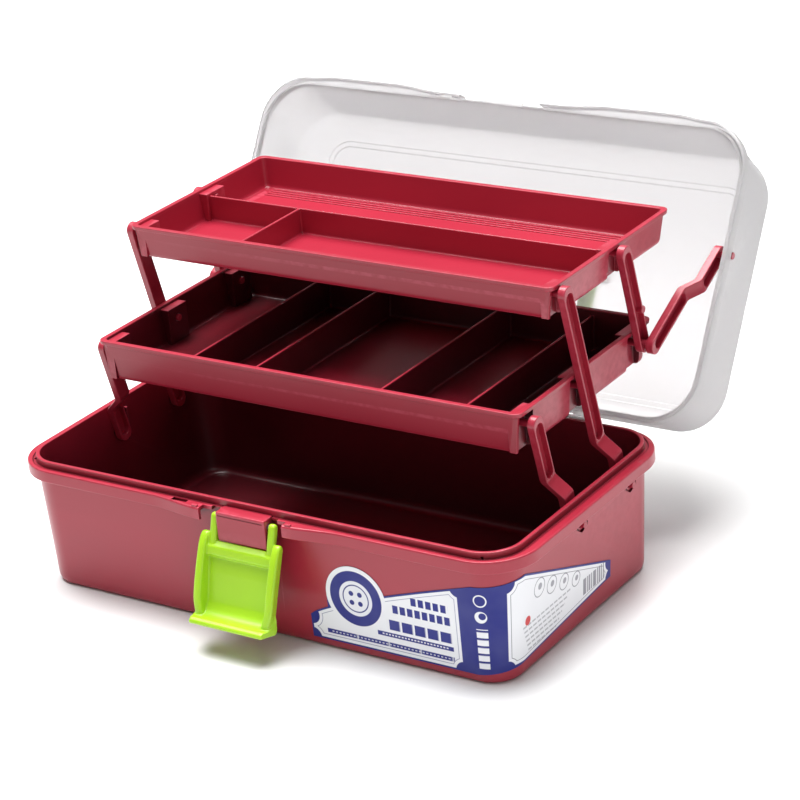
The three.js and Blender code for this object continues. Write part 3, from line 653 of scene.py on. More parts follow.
def wall_openings(side):
    """The wedge-shaped reliefs round the arms' pins in an end wall."""
    made = []
    for y, z in (FRONT_FOOT, REAR_FOOT):
        wedge = [(y + along, z + up) for along, up in WEDGE]
        made.append(on_side(plate(wedge, BROW[0] - WEDGE_DEPTH, BROW[0] + 2, 0.3), side))
    return made


def pin_collars(side):
    """Rings on the inside of an end wall round the arms' pins."""
    inner, outer, radius = COLLAR
    return [
        on_side(rod(inner, outer, y, z, radius, 0.2), side) for y, z in (FRONT_FOOT, REAR_FOOT)
    ]


def pin_holes(side):
    """The arms' pin holes in an end wall."""
    return [
        on_side(rod(150, 162, y, z, PIN + CLEARANCE, 0.1), side)
        for y, z in (FRONT_FOOT, REAR_FOOT)
    ]


def flange_slots():
    """Drain slots in the flange's top, near the front corners and beside the latch."""
    high = (FLANGE_TOP - DRAIN_DEPTH, FLANGE_TOP + 1)
    return [block(xs, ys, high, 0) for xs, ys in DRAINS]


def latch_notch():
    """The flange's notch for the latch, and deeper slots for the latch's prongs."""
    high = (60, FLANGE_TOP + 2)
    slots = [
        on_side(block(PRONG_SLOT, (NOTCH_FRONT, PRONG_SLOT_REAR), high, 0), side)
        for side in (RIGHT, LEFT)
    ]
    notch = block((-NOTCH_HALF, NOTCH_HALF), (NOTCH_FRONT, NOTCH_REAR), high, 0)
    return notch, grouped(*slots)


def flange_nibs():
    """Two small stops on the flange beside the latch's notch."""
    high = (FLANGE_TOP - 0.6, FLANGE_TOP + 0.9)
    spans = ((-NIB[1], -NIB[0]), NIB)
    return [block(xs, NIB_DEPTH, high, 0.35) for xs in spans]


def make_base(context):
    """The base with its keeper, hinge ears, ribs, holes and slots."""
    s = context.scene.sewing_box_sizes
    ease = s.edge / MM
    made = cut(base_body(s), *latch_notch(), grouped(*flange_slots()))
    extras = [grouped(*hinge_ears(ease)), grouped(*guide_ribs(ease)), grouped(*flange_nibs())]
    join(made, keeper(ease), *extras)
    holes = [rod(-20, 20, LATCH_Y, LATCH_Z, LATCH_PIN + CLEARANCE, 0.1)]
    holes += [
        rod(x - 20, x + 20, HINGE_Y, HINGE_Z, HINGE_PIN + CLEARANCE, 0.1)
        for x in (HINGE_X, -HINGE_X)
    ]
    reliefs = wall_openings(RIGHT) + wall_openings(LEFT)
    bores = pin_holes(RIGHT) + pin_holes(LEFT)
    cut(made, grouped(*holes), grouped(*reliefs))
    join(made, grouped(*pin_collars(RIGHT), *pin_collars(LEFT)))
    return cut(made, grouped(*bores))


# ------------------------------------------------------------ lid
def lid_body(s):
    """The lid's wall, crown, panel steps, skirt and inner lip, as when closed."""
    wall = s.lid_wall / MM
    skirt_top = LID_FOOT + SKIRT_HEIGHT
    under = skirt_top - SKIRT_WALL
    turns = [QUARTER * i / 10 for i in range(11)]
    rise = CROWN_RISE / 2
    roof = LID_TOP - wall
    steps = ((0.8, 0), (1.5, rise), (4.0, rise), (4.7, CROWN_RISE))
    inside = [(crown_step(12, roof + CROWN_RISE), 0)]
    inside += [(crown_step(extra, roof + up), 0.25) for extra, up in steps[::-1]]
    inside += [(crown_level(turn, wall), 0) for turn in turns[::-1]]
    foot = [
        (lid_level(LID_FOOT + LID_LIP_RISE, wall), 0.5),
        (lid_level(LID_FOOT + LID_LIP_RISE, LID_LIP_INSET), 0.3),
        (lid_level(under), 0.4),
        (flange_level(under, LID_SKIRT_WALL), 0.6),
        (flange_level(LID_FOOT, LID_SKIRT_WALL), 0.4), (flange_level(LID_FOOT), 0.5),
        (flange_level(skirt_top), 1.4), (lid_level(skirt_top + 0.3), 1.0),
    ]
    outside = [(crown_level(turn), 0) for turn in turns]
    outside += [(crown_step(extra, LID_TOP + up), 0.25) for extra, up in steps]
    outside += [(crown_step(12, LID_TOP + CROWN_RISE), 0)]
    return shell(inside + foot + outside, LID_WAVES, s.corner_steps, "lid_shell")


def knuckles(ease):
    """The lid's halves of the two hinges."""
    top = LID_FOOT + SKIRT_HEIGHT - 1
    outline = [(85.6, LID_FOOT + 0.6), (89.6, LID_FOOT - 1), (HINGE_Y - HINGE_RADIUS, HINGE_Z)]
    outline += arc(HINGE_Y, HINGE_Z, HINGE_RADIUS, math.pi, 2.25 * math.pi, 20)[1:]
    outline += [(89.0, top), (85.6, top)]
    return [
        plate(outline, centre - KNUCKLE_HALF, centre + KNUCKLE_HALF, ease)
        for centre in (HINGE_X, -HINGE_X)
    ]


def handle_bosses(ease):
    """The two bosses on the lid's crown that hold the carry handle."""
    top = LID_TOP + CROWN_RISE
    outline = [(-4.7, top - 0.6), (4.7, top - 0.6), *arc(0, HANDLE_Z, 4.7, 0, math.pi, 16)]
    near = HANDLE_HALF + CLEARANCE
    return [plate(outline, way * near, way * (near + 6), ease) for way in (RIGHT, LEFT)]


def make_lid(context):
    """The lid with its latch catch, locator, hinge knuckles and handle bosses, swung open."""
    s = context.scene.sewing_box_sizes
    ease = s.edge / MM
    notch = block((-NOTCH_HALF, NOTCH_HALF), (-97, LID_SKIRT[1] - 0.1), (LID_FOOT - 1, 83), 0)
    made = cut(lid_body(s), notch)
    catch = block((-13, 13), (-86, -83), (79.5, 81.5), ease)
    locator = block((-42, -33), (-85, -83), (LID_FOOT + 0.8, LID_FOOT + 6.4), ease)
    join(made, grouped(catch, locator), grouped(*knuckles(ease)), grouped(*handle_bosses(ease)))
    holes = [
        rod(x - 20, x + 20, HINGE_Y, HINGE_Z, HINGE_PIN + CLEARANCE, 0.1)
        for x in (HINGE_X, -HINGE_X)
    ]
    closed_pin = (-14.0, 84.6)
    holes += [on_side(rod(150, 170, *closed_pin, PIN + CLEARANCE, 0.1), side)
              for side in (RIGHT, LEFT)]
    holes.append(rod(-80, 80, 0, HANDLE_Z, PIN + CLEARANCE, 0.1))
    return swung(cut(made, grouped(*holes)))


# ------------------------------------------------------------ trays
def tray_level(tray, drop, inset=0.0):
    """One level of a tray, measured down from its rim. Its walls lean in to the floor."""
    half_x, half_y, depth = tray[:3]
    lean = drop / depth * TRAY_DRAFT + inset
    half_x, half_y = half_x - lean, half_y - lean
    return half_x, -half_y, half_y, max(TRAY_RADIUS - inset / 2, 1.2), -drop, 0.0


def tray_body(tray, wall, steps):
    """A tray's walls, floor and rolled rim."""
    depth = tray[2]
    skin = RIM_WIDTH
    corners = [
        (tray_level(tray, depth, skin + 9), 0), (tray_level(tray, depth, skin), 3.0),
        (tray_level(tray, RIM_HEIGHT, skin), 0.5), (tray_level(tray, RIM_HEIGHT), 0.4),
        (tray_level(tray, 0), 0.8), (tray_level(tray, 0, skin + wall), 0.8),
        (tray_level(tray, depth - wall, skin + wall), 2.6),
        (tray_level(tray, depth - wall, skin + wall + 9), 0),
    ]
    return shell(corners, (), steps, "tray")


def flare(distance, radius=1.3):
    """How much a divider widens near a wall or floor."""
    if distance >= radius:
        return 0.0
    near = radius - max(distance, 0.0)
    return radius - math.sqrt(radius * radius - near * near)


def divider(tray, wall, centre, ends, along_x):
    """An upright divider that swells into the floor and into what it meets at its ends."""
    depth = tray[2]
    floor = -depth + wall
    top = -DIVIDER_DROP
    lifts = [-0.8, 0.0, 0.15, 0.35, 0.6, 0.95, 1.3]
    heights = [(floor + lift, 0.0) for lift in lifts]
    heights += [(z, inset) for z, inset in eased(floor + 2, top, wall * 0.42)[4:]]
    loops = []
    for z, inset in heights:
        low, high = ends(z)
        lip = [0.0, 0.15, 0.35, 0.6, 0.95, 1.3]
        runs = [low - 0.9] + [low + r for r in lip] + [high - r for r in lip[::-1]] + [high + 0.9]
        right, left = [], []
        for run in runs:
            gap = min(run - low, high - run)
            half = wall / 2 - inset + flare(z - floor) + flare(gap)
            right.append((run, centre + half))
            left.append((run, centre - half))
        outline = right + left[::-1]
        loops.append([(u, v, z) if along_x else (v, u, z) for u, v in outline])
    return loft(loops)


def wall_ends(tray, wall, along_x):
    """Gives a divider's ends at the tray's inner walls for a height."""
    def ends(z):
        lvl = tray_level(tray, -z, RIM_WIDTH + wall)
        return (-lvl[0], lvl[0]) if along_x else (lvl[1], lvl[2])
    return ends


def pocket_box(tray, ys, zs, ease):
    """A block that backs on to the sloping inside of a tray's end wall."""
    low, high = zs
    outer_low, outer_high = (tray_level(tray, -z, RIM_WIDTH + 0.5)[0] for z in zs)
    inner = POCKET_X - POCKET_WALL
    loop = [(inner, low), (outer_low, low), (outer_high, high), (inner, high)]
    made = loft([[(x, y, z) for x, z in loop] for y in ys])
    round_edges(made, ease)
    return made


def pivot_pockets(tray, pivots, ease):
    """Pockets in the tray's end walls round its pivots, and the hollows and holes to cut."""
    half_y, depth, middle, rim = tray[1:5]
    boxes, hollows = [], []
    for side in (RIGHT, LEFT):
        for y, z in pivots:
            local = y - middle
            outer = POCKET_HALF + POCKET_WALL
            front = max(local - outer, -half_y + RIM_WIDTH + 1)
            high = (-depth + 0.8, POCKET_WALL - POCKET_DROP)
            box = pocket_box(tray, (front, local + outer), high, ease)
            inside = max(local - POCKET_HALF, front + POCKET_WALL)
            hollow = block((POCKET_X, 142), (inside, local + POCKET_HALF),
                           (-depth - 3, -POCKET_DROP), ease)
            hole = rod(POCKET_X - 4, POCKET_X + 1, local, z - rim, PIN + CLEARANCE, 0.1)
            boxes.append(on_side(box, side))
            hollows += [on_side(hollow, side), on_side(hole, side)]
    return boxes, hollows


def tray_pivots():
    """The pivots of the lower tray and of the upper tray, open."""
    sway = math.tan(LEAN)
    low_z = FRONT_FOOT[1] + LOWER_RISE
    high_z = low_z + UPPER_RISE
    front = (FRONT_FOOT[0] - LOWER_RISE * sway, low_z)
    middle = (REAR_FOOT[0] - LOWER_RISE * sway, low_z)
    upper = [(y - UPPER_RISE * sway, high_z) for y in (middle[0], TRAY_REAR[0])]
    return [front, middle, TRAY_REAR], upper


def make_lower_tray(context):
    """The lower tray with its four cross dividers."""
    s = context.scene.sewing_box_sizes
    wall = s.tray_wall / MM
    boxes, hollows = pivot_pockets(LOWER, tray_pivots()[0], s.edge / MM)
    ends = wall_ends(LOWER, wall, False)
    dividers = [divider(LOWER, wall, x + wall / 2, ends, False) for x in LOWER_DIVIDERS]
    made = tray_body(LOWER, wall, s.corner_steps // 2 + 1)
    join(made, grouped(*dividers), grouped(*boxes[0::3]), grouped(*boxes[1::3]), *boxes[2::3])
    cut(made, *hollows)
    return placed(made, 0, LOWER[3], LOWER[4])


def make_upper_tray(context):
    """The upper tray with its long and short dividers and the ribs on its floor."""
    s = context.scene.sewing_box_sizes
    wall = s.tray_wall / MM
    boxes, hollows = pivot_pockets(UPPER, tray_pivots()[1], s.edge / MM)
    half_y, depth = UPPER[1:3]
    long_wall = divider(UPPER, wall, LONG_DIVIDER_Y, wall_ends(UPPER, wall, True), True)

    def short_ends(z):
        return wall_ends(UPPER, wall, False)(z)[0], LONG_DIVIDER_Y - wall / 2

    short_wall = divider(UPPER, wall, SHORT_DIVIDER_X, short_ends, False)
    floor = wall - depth
    ribs = []
    for i in range(FLOOR_RIBS):
        y = half_y - 9 - i * FLOOR_RIB_PITCH
        ribs.append(block((-126, 126), (y, y + 0.8), (floor - 0.6, floor + 0.5), 0.2))
    made = tray_body(UPPER, wall, s.corner_steps // 2 + 1)
    join(made, long_wall, short_wall, grouped(*ribs), grouped(*boxes[0::2]), grouped(*boxes[1::2]))
    cut(made, *hollows)
    return placed(made, 0, UPPER[3], UPPER[4])


# ------------------------------------------------------------ linkage
def bar(s, length, x, pockets):
    """A flat bar with round ends along Z and a shallow pocket for each span given."""
    width, thick = s.arm_width / MM, s.arm_thick / MM
    loops = [
        slot_loop(x + at, width, 0, length, inset) for at, inset in eased(0, thick, 0.55)
    ]
    made = loft(loops)
    groove = width - 2 * ARM_RAIL
    for z_from, z_to, outward in pockets:
        run = [(ARM_WEB, 0.5), (ARM_WEB + 0.15, 0.15), (ARM_WEB + 0.5, 0), (thick - 0.4, 0)]
        run += [(thick - 0.12, -0.12), (thick + 0.02, -0.45), (thick + 1, -0.45)]
        places = [(x + at if outward else x + thick - at, inset) for at, inset in run]
        tool = loft([slot_loop(at, groove, z_from, z_to, inset) for at, inset in places])
        cut(made, tool)
    return made


def ramp(t, soft=0.22):
    """A straight rise from 0 to 1 with softened ends."""
    t = clamp(t)
    if t > 0.5:
        return 1 - ramp(1 - t, soft)
    if t < soft:
        return t * t / (2 * soft * (1 - soft))
    return (t - soft / 2) / (1 - soft)


def cranked(made, span, shift, cuts=14):
    """Bends a bar sideways between two places along its run."""
    low, high = span
    work = bmesh.new()
    work.from_mesh(made.data)
    for i in range(cuts + 1):
        z = (low + (high - low) * i / cuts) * MM
        everything = work.verts[:] + work.edges[:] + work.faces[:]
        bmesh.ops.bisect_plane(work, geom=everything, plane_co=(0, 0, z), plane_no=(0, 0, 1))
    for vertex in work.verts:
        vertex.co.x += shift * MM * ramp((vertex.co.z / MM - low) / (high - low))
    work.to_mesh(made.data)
    work.free()
    return made


def cranked_arm(s, length, tray_pins, side):
    """An arm that stands outside at the base and steps in beside the trays."""
    low, high = CRANK
    made = bar(s, length, ARM_OUTER_X, [(3, low - 3.4, False), (high + 3.2, length - 3, True)])
    cranked(made, CRANK, ARM_INNER_X - ARM_OUTER_X)
    thick = s.arm_thick / MM
    pins = [rod(ARM_OUTER_X + thick - 0.6, WALL_PIN_TIP, 0, 0, PIN, 0.4)]
    pins += [rod(TRAY_PIN_TIP, ARM_INNER_X + 0.6, 0, z, PIN, 0.4) for z in tray_pins]
    return on_side(join(made, grouped(*pins)), side)


def upper_arm(s, side):
    """The short straight arm behind, with its small rear nub and the stub for the link."""
    made = bar(s, UPPER_LENGTH, ARM_INNER_X, [(3, UPPER_LENGTH - 3, True)])
    thick = s.arm_thick / MM
    nub = loft([
        [(x, y + s.arm_width / MM / 2, z) for x, y, z in circle(x, 0, 20, 2.2 - inset)]
        for x, inset in eased(ARM_INNER_X, ARM_INNER_X + thick, 0.4)
    ])
    pins = [rod(TRAY_PIN_TIP, ARM_INNER_X + 0.6, 0, z, PIN, 0.4) for z in (0, UPPER_LENGTH)]
    stub = rod(ARM_INNER_X + 1, LINK_INNER_X - CLEARANCE, 0, 0, 2.6, 0.3)
    return on_side(join(made, nub, grouped(*pins), stub), side)


def lid_link(s, side):
    """The link from the lid's side down to the lower tray's rear pivot."""
    low, high = LINK_CRANK
    pockets = [(3, low - 3.4, True), (high + 3.2, LINK_LENGTH - 3, True)]
    made = bar(s, LINK_LENGTH, LINK_OUTER_X, pockets)
    cranked(made, LINK_CRANK, LINK_INNER_X - LINK_OUTER_X)
    pin = rod(LINK_OUTER_X + 1, LID_PIN_TIP, 0, 0, PIN, 0.4)
    return on_side(join(made, pin), side)


# ------------------------------------------------------------ latch and handle
def latch_panel():
    """The latch's scooped panel with its cross bar, as an outline in (y, z)."""
    foot = -LATCH_LENGTH
    outline = [(1.2, -13.1), (1.2, foot + 1.2), (0.2, foot + 0.4), (-1.0, foot + 4)]
    outline += bend((-1.0, foot + 4), (-0.7, foot + 8), (-0.7, foot + 12), 6)
    outline += [(-0.9, -30.0), (-0.7, -21.8), (-3.1, -20.6), (-3.1, -16.0), (-0.4, -13.2)]
    return outline


def latch_lip():
    """The thumb lip at the latch's foot, narrower at its front edge."""
    foot = -LATCH_LENGTH
    outline = [(1.2, foot + 1.4), (1.2, foot - 0.6), (0.2, foot - 1.8), (-11.0, foot - 3.0)]
    outline += [(-11.5, foot - 2.2), (-11.3, foot - 0.6)]
    outline += bend((-9.6, foot + 0.6), (-1.8, foot + 1.2), (-0.7, foot + 9), 10)
    made = loft([[(x, y, z) for y, z in outline] for x in (-1, 1)])
    for vertex in made.data.vertices:
        share = clamp(-vertex.co.y / MM / 11.5)
        vertex.co.x *= LATCH_HALF - 0.4 - 1.9 * share * share
    round_edges(made, 0.7)
    return made


def latch_rail(way):
    """A side rail, rounded over and drawn in at its foot and at its top."""
    foot = -LATCH_LENGTH
    rail = [(1.2, -11.0), (1.2, foot)]
    rail += bend((-6.2, foot), (-7.4, -38.0), (-5.8, -22.0), 10)
    rail += bend((-5.8, -22.0), (-5.0, -10.6), (-2.0, -8.6), 8)[1:]
    rail += bend((-2.0, -8.6), (0.6, -7.4), (1.2, -11.0), 6)[1:-1]
    made = plate(rail, way * (LATCH_HALF - 5), way * LATCH_HALF, 1.7, 4)
    for vertex in made.data.vertices:
        low = smooth((-40 - vertex.co.z / MM) / 15)
        vertex.co.x -= way * MM * 2.0 * low * low
    return made


def make_latch(context):
    """The latch, hanging forward from its pin."""
    s = context.scene.sewing_box_sizes
    parts = [plate(latch_panel(), -LATCH_HALF + 2, LATCH_HALF - 2, 0), latch_lip()]
    for way in (RIGHT, LEFT):
        parts.append(latch_rail(way))
        loops = [slot_loop(x, 4.4, -15, 0, inset) for x, inset in eased(*PRONG, 1.4, 4)]
        parts.append(on_side(loft(loops), way))
    made = moulded(parts, s.latch_grain)
    cut(made, rod(-LATCH_PIN_REACH, LATCH_PIN_REACH, 0, 0, LATCH_PIN + CLEARANCE, 0.1))
    return placed(made, -LATCH_LEAN, LATCH_Y, LATCH_Z)


def make_handle(context):
    """The carry handle, folded back on the lid."""
    s = context.scene.sewing_box_sizes
    half, width, reach = HANDLE_HALF, HANDLE_BAR, HANDLE_REACH
    parts = []
    for way in (RIGHT, LEFT):
        leg = [*arc(0, 0, 2.6, math.pi, 1.5 * math.pi, 6), (reach, -3.4), (reach, 3.4), (0, 3.2)]
        parts.append(plate(leg, way * (half - width), way * half, 1.4, 4))
        parts.append(rod(way * (half - 3), way * (half + 5), 0, 0, PIN, 0.3))
    grip = [*arc(reach - 3, 0.5, 4.4, QUARTER, 1.5 * math.pi, 8)]
    grip += [*arc(reach - 0.5, 0.5, 4.4, -QUARTER, QUARTER, 8)]
    parts.append(plate(grip, -half, half, 1.8, 4))
    for i in range(-3, 4):
        centre = i * 11.0
        bead = arc(reach - 6.4, -0.2, 2.6, 0, 2 * math.pi, 12)[:-1]
        parts.append(plate(bead, centre - 4.4, centre + 4.4, 1.0, 3))
    made = moulded(parts, s.latch_grain * 1.25)
    made.data.transform(Matrix.Translation(Vector((0, 0, HANDLE_Z)) * MM))
    return swung(made)


# ------------------------------------------------------------ label
def label_edges(kind, t):
    """The label's lower and upper edge at a station along it."""
    if kind == "front":
        return 5.5, 19 + 38 * t ** 0.8
    if kind == "corner":
        return 5.5 + 3 * t, 57 + 2 * t
    return 8.5 + 6.5 * t, 59 - 34 * t


def label_stations():
    """Stations along the label, closer together where the emblem stands up."""
    front_end = BROW[0] - BROW[2]
    reach = front_end - LABEL_FRONT_X
    middle, _, radius = EMBLEM
    shares = {i / 40 for i in range(41)}
    rounds = [middle + radius * math.cos(math.pi * i / 36) for i in range(37)]
    shares |= {(x - LABEL_FRONT_X) / reach for x in rounds}
    run = [("front", t) for t in sorted(shares)]
    run += [("corner", i / 16) for i in range(1, 17)]
    run += [("side", i / 30) for i in range(1, 31)]
    return run


def label_place(kind, t, z, out):
    """A point of the label on the base's wall, and its place along the print."""
    half_x, front, _, radius, _, _ = base_level(z, -out)
    x, y = half_x - radius, front + radius
    front_end = BROW[0] - BROW[2]
    if kind == "front":
        along = LABEL_FRONT_X + (front_end - LABEL_FRONT_X) * t
        share = (along - LABEL_FRONT_X) / (front_end - LABEL_FRONT_X)
        return (LABEL_FRONT_X + (x - LABEL_FRONT_X) * share, front, z), along
    if kind == "side":
        y_from = -BROW[1] + BROW[2]
        along = front_end + LABEL_CORNER + (LABEL_SIDE_Y - y_from) * t
        return (half_x, y + (LABEL_SIDE_Y - y) * t, z), along
    turn = QUARTER * (t - 1)
    place = (x + radius * math.cos(turn), y + radius * math.sin(turn), z)
    return place, front_end + LABEL_CORNER * t


def make_label(context):
    """The printed label round the front right corner."""
    ups = 24
    loops, places = [], []
    middle, rise, radius = EMBLEM
    for kind, t in label_stations():
        low, high = label_edges(kind, t)
        along = label_place(kind, t, low, 0)[1]
        if kind == "front" and abs(along - middle) < radius:
            high = max(high, rise + math.sqrt(radius ** 2 - (along - middle) ** 2))
        heights = [low + (high - low) * i / ups for i in range(ups + 1)]
        skins = ((heights, LABEL_GAP), (heights[::-1], LABEL_GAP + LABEL_THICK))
        stops = [(label_place(kind, t, z, out), z) for run, out in skins for z in run]
        loops.append([point for (point, _), _ in stops])
        places += [(along, z, 0.0) for (_, along), z in stops]
    made = loft(loops, "corner_label")
    spots = made.data.attributes.new("print_place", "FLOAT_VECTOR", "POINT")
    spots.data.foreach_set("vector", [value for spot in places for value in spot])
    return made


# ------------------------------------------------------------ shader writing
class Wire:
    """One value of a material; arithmetic on it adds Math nodes."""

    def __init__(self, shade, socket):
        self.shade = shade
        self.socket = socket

    def maths(self, operation, *others, clamped=False):
        """This value and others through one Math node."""
        values = dict(enumerate((self, *others)))
        settings = {"operation": operation, "use_clamp": clamped}
        return self.shade.node("ShaderNodeMath", settings, values)

    def __add__(self, other):
        return self.maths("ADD", other)

    __radd__ = __add__

    def __mul__(self, other):
        return self.maths("MULTIPLY", other)

    __rmul__ = __mul__

    def __sub__(self, other):
        return self.maths("SUBTRACT", other)

    def __rsub__(self, other):
        return (self * -1.0) + other

    def __truediv__(self, other):
        return self.maths("DIVIDE", other)

    def __pow__(self, other):
        return self.maths("POWER", other)

    def least(self, other):
        """The smaller of two values."""
        return self.maths("MINIMUM", other)

    def most(self, other):
        """The larger of two values."""
        return self.maths("MAXIMUM", other)

    def above(self, edge, soft):
        """0 below an edge and 1 above it, with a narrow ramp."""
        return self.maths("MULTIPLY_ADD", 1 / soft, 0.5 - edge / soft, clamped=True)

    def below(self, edge, soft):
        """1 below an edge and 0 above it, with a narrow ramp."""
        return self.maths("MULTIPLY_ADD", -1 / soft, 0.5 + edge / soft, clamped=True)

    def phase(self, pitch):
        """The place within a repeat, from 0 to 1."""
        return (self / pitch).maths("FRACT")


class Shade:
    """A material being written."""

    def __init__(self, name):
        self.material = bpy.data.materials.new(name + FINISH)
        self.material.use_nodes = True
        self.tree = self.material.node_tree
        self.tree.nodes.clear()

    def node(self, kind, settings=None, values=None, out=0):
        """A node with its settings made first, then its sockets' values or links."""
        made = self.tree.nodes.new(kind)
        for key, value in (settings or {}).items():
            setattr(made, key, value)
        for key, value in (values or {}).items():
            if isinstance(value, Wire):
                self.tree.links.new(value.socket, made.inputs[key])
            else:
                made.inputs[key].default_value = value
        return Wire(self, made.outputs[out])

    def place(self):
        """The piece's own coordinates, in metres."""
        return self.node("ShaderNodeTexCoord", out=3)

    def noise(self, scale, detail=2.0, stretch=None, rough=0.5):
        """Soft noise with about scale bumps to the metre."""
        where = self.place()
        if stretch:
            settings = {"operation": "MULTIPLY"}
            where = self.node("ShaderNodeVectorMath", settings, {0: where, 1: stretch})
        values = {"Vector": where, "Scale": scale, "Detail": detail, "Roughness": rough}
        return self.node("ShaderNodeTexNoise", {"noise_dimensions": "3D"}, values)

    def blend(self, factor, first, second, kind="MIX"):
        """One colour laid over another by a factor."""
        settings = {"data_type": "RGBA", "blend_type": kind, "clamp_factor": True}
        values = {0: factor, 6: colour(first), 7: colour(second)}
        return self.node("ShaderNodeMix", settings, values, out=2)

    def hollow(self, reach, edge):
        """A painted shade mask from ambient occlusion: 1 deep in a corner or a bin and 0 in the
        open.
        """
        settings = {"samples": 6, "only_local": True}
        open_share = self.node("ShaderNodeAmbientOcclusion", settings, {"Distance": reach}, 1)
        return open_share.below(edge, 0.2)

    def bump(self, height, strength, distance):
        """A normal from a height."""
        values = {"Strength": strength, "Distance": distance, "Height": height}
        return self.node("ShaderNodeBump", None, values)

    def finish(self, **values):
        """The principled surface, with its sockets named in words."""
        sockets = {key.replace("_", " "): value for key, value in values.items()}
        surface = self.node("ShaderNodeBsdfPrincipled", None, sockets)
        self.node_output(surface)
        return self.material

    def node_output(self, surface):
        """Ends the material in a surface."""
        end = self.tree.nodes.new("ShaderNodeOutputMaterial")
        self.tree.links.new(surface.socket, end.inputs["Surface"])


def colour(value):
    """A colour with its alpha, or a link as it is."""
    return value if isinstance(value, Wire) else (*tuple(value)[:3], 1.0)


def scaled(value, factor):
    """A colour made lighter or darker."""
    return tuple(min(channel * factor, 1.0) for channel in value)


# ------------------------------------------------------------ materials
def edge_wear_and_highlight(shade):
    """A mask that is strong on outer edges: partly rubbed wear, partly a painted highlight along
    the rims.
    """
    pointed = shade.node("ShaderNodeNewGeometry", out=7)
    grain = shade.noise(260.0, 3.0)
    return pointed.above(0.535, 0.05) * grain.above(0.45, 0.35)


def burgundy_plastic(f, name="burgundy_plastic", edge=0.0):
    """Glossy moulded polypropylene with faint flow marks, fine rubbing, edges lighter from wear
    and a painted highlight, and painted shade deep in hollows when an edge is given.
    """
    shade = Shade(name)
    cloud = shade.noise(9.0, 2.0)
    flow = shade.noise(22.0, 3.0, (0.25, 1.0, 1.6))
    base = shade.blend(cloud.above(0.5, 0.7), scaled(f.burgundy, 0.9), scaled(f.burgundy, 1.1))
    base = shade.blend(flow.above(0.62, 0.3) * 0.25, base, scaled(f.burgundy, 1.35))
    # Lighter pink on outer edges: partly wear, partly a painted highlight of the glossy rims.
    base = shade.blend(edge_wear_and_highlight(shade) * 0.35, base, (0.62, 0.11, 0.16))
    scratch = shade.noise(420.0, 4.0, (0.06, 1.0, 1.0), 0.7)
    rubbed = shade.noise(420.0, 4.0, (1.0, 0.06, 1.0), 0.7)
    marks = scratch.above(0.66, 0.12).most(rubbed.above(0.68, 0.12))
    # Painted shade: the colour darkens towards near black where ambient occlusion finds a hollow.
    if edge:
        base = shade.blend(shade.hollow(0.3, edge) * 0.92, base, scaled(f.burgundy, 0.08))
    rough = (cloud - 0.5) * 0.12 + marks * 0.06 + f.gloss
    peel = shade.noise(1100.0, 2.0) * 0.5 + shade.noise(190.0, 2.0)
    return shade.finish(
        Base_Color=base, Roughness=rough, IOR=1.5, Specular_IOR_Level=0.44,
        Coat_Weight=0.08, Coat_Roughness=0.14,
        Normal=shade.bump(peel - marks * 0.15, 0.1, 0.0003))


def burgundy_painted_shade_bin(f):
    """The burgundy plastic of the deep base, with painted shade down inside."""
    return burgundy_plastic(f, "burgundy_painted_shade_bin", 0.56)


def burgundy_painted_shade_tray(f):
    """The burgundy plastic of the lower tray, with painted shade in its bays."""
    return burgundy_plastic(f, "burgundy_painted_shade_tray", 0.7)


def milky_plastic(f):
    """Milky translucent polypropylene, a little cloudy, with fine scuffs."""
    shade = Shade("milky_plastic")
    cloud = shade.noise(7.0, 2.0)
    base = shade.blend(cloud.above(0.5, 0.8), scaled(f.milky, 0.96), scaled(f.milky, 1.03))
    scratch = shade.noise(380.0, 4.0, (0.05, 1.0, 1.0), 0.7)
    marks = scratch.above(0.67, 0.12)
    # Paler on outer edges: partly wear, partly a painted highlight.
    base = shade.blend(edge_wear_and_highlight(shade) * 0.3, base, (0.93, 0.93, 0.94))
    rough = (cloud - 0.5) * 0.1 + marks * 0.08 + 0.42
    peel = shade.noise(900.0, 2.0) * 0.4 + shade.noise(120.0, 2.0)
    return shade.finish(
        Base_Color=base, Roughness=rough, IOR=1.3, Transmission_Weight=0.72,
        Specular_IOR_Level=0.4, Subsurface_Weight=0.25,
        Subsurface_Radius=(0.004, 0.004, 0.0045), Subsurface_Scale=1.0,
        Normal=shade.bump(peel - marks * 0.3, 0.1, 0.0004))


def lime_plastic(f):
    """Satin lime polypropylene."""
    shade = Shade("lime_plastic")
    cloud = shade.noise(30.0, 2.0)
    base = shade.blend(cloud.above(0.5, 0.7), scaled(f.lime, 0.93), scaled(f.lime, 1.06))
    # Paler lime on outer edges: partly wear, partly a painted highlight.
    base = shade.blend(edge_wear_and_highlight(shade) * 0.3, base, (0.55, 0.86, 0.12))
    rubbed = shade.noise(520.0, 4.0, (1.0, 1.0, 0.06), 0.7)
    marks = rubbed.above(0.66, 0.12)
    rough = (cloud - 0.5) * 0.12 + marks * 0.12 + 0.33
    peel = shade.noise(1200.0, 2.0) + shade.noise(260.0, 2.0)
    return shade.finish(
        Base_Color=base, Roughness=rough, IOR=1.5,
        Subsurface_Weight=0.2, Subsurface_Radius=(0.002, 0.003, 0.0006), Subsurface_Scale=1.0,
        Normal=shade.bump(peel - marks * 0.4, 0.1, 0.0003))


def pin_steel(f):
    """Drawn steel wire with lengthwise lines."""
    shade = Shade("pin_steel")
    lines = shade.noise(900.0, 3.0, (0.03, 1.0, 1.0), 0.7)
    spots = shade.noise(160.0, 3.0)
    base = shade.blend(spots.above(0.6, 0.3), scaled(f.steel, 1.0), scaled(f.steel, 0.72))
    rough = lines * 0.22 + 0.2
    return shade.finish(
        Base_Color=base, Roughness=rough, Metallic=1.0, Normal=shade.bump(lines, 0.15, 0.0001))


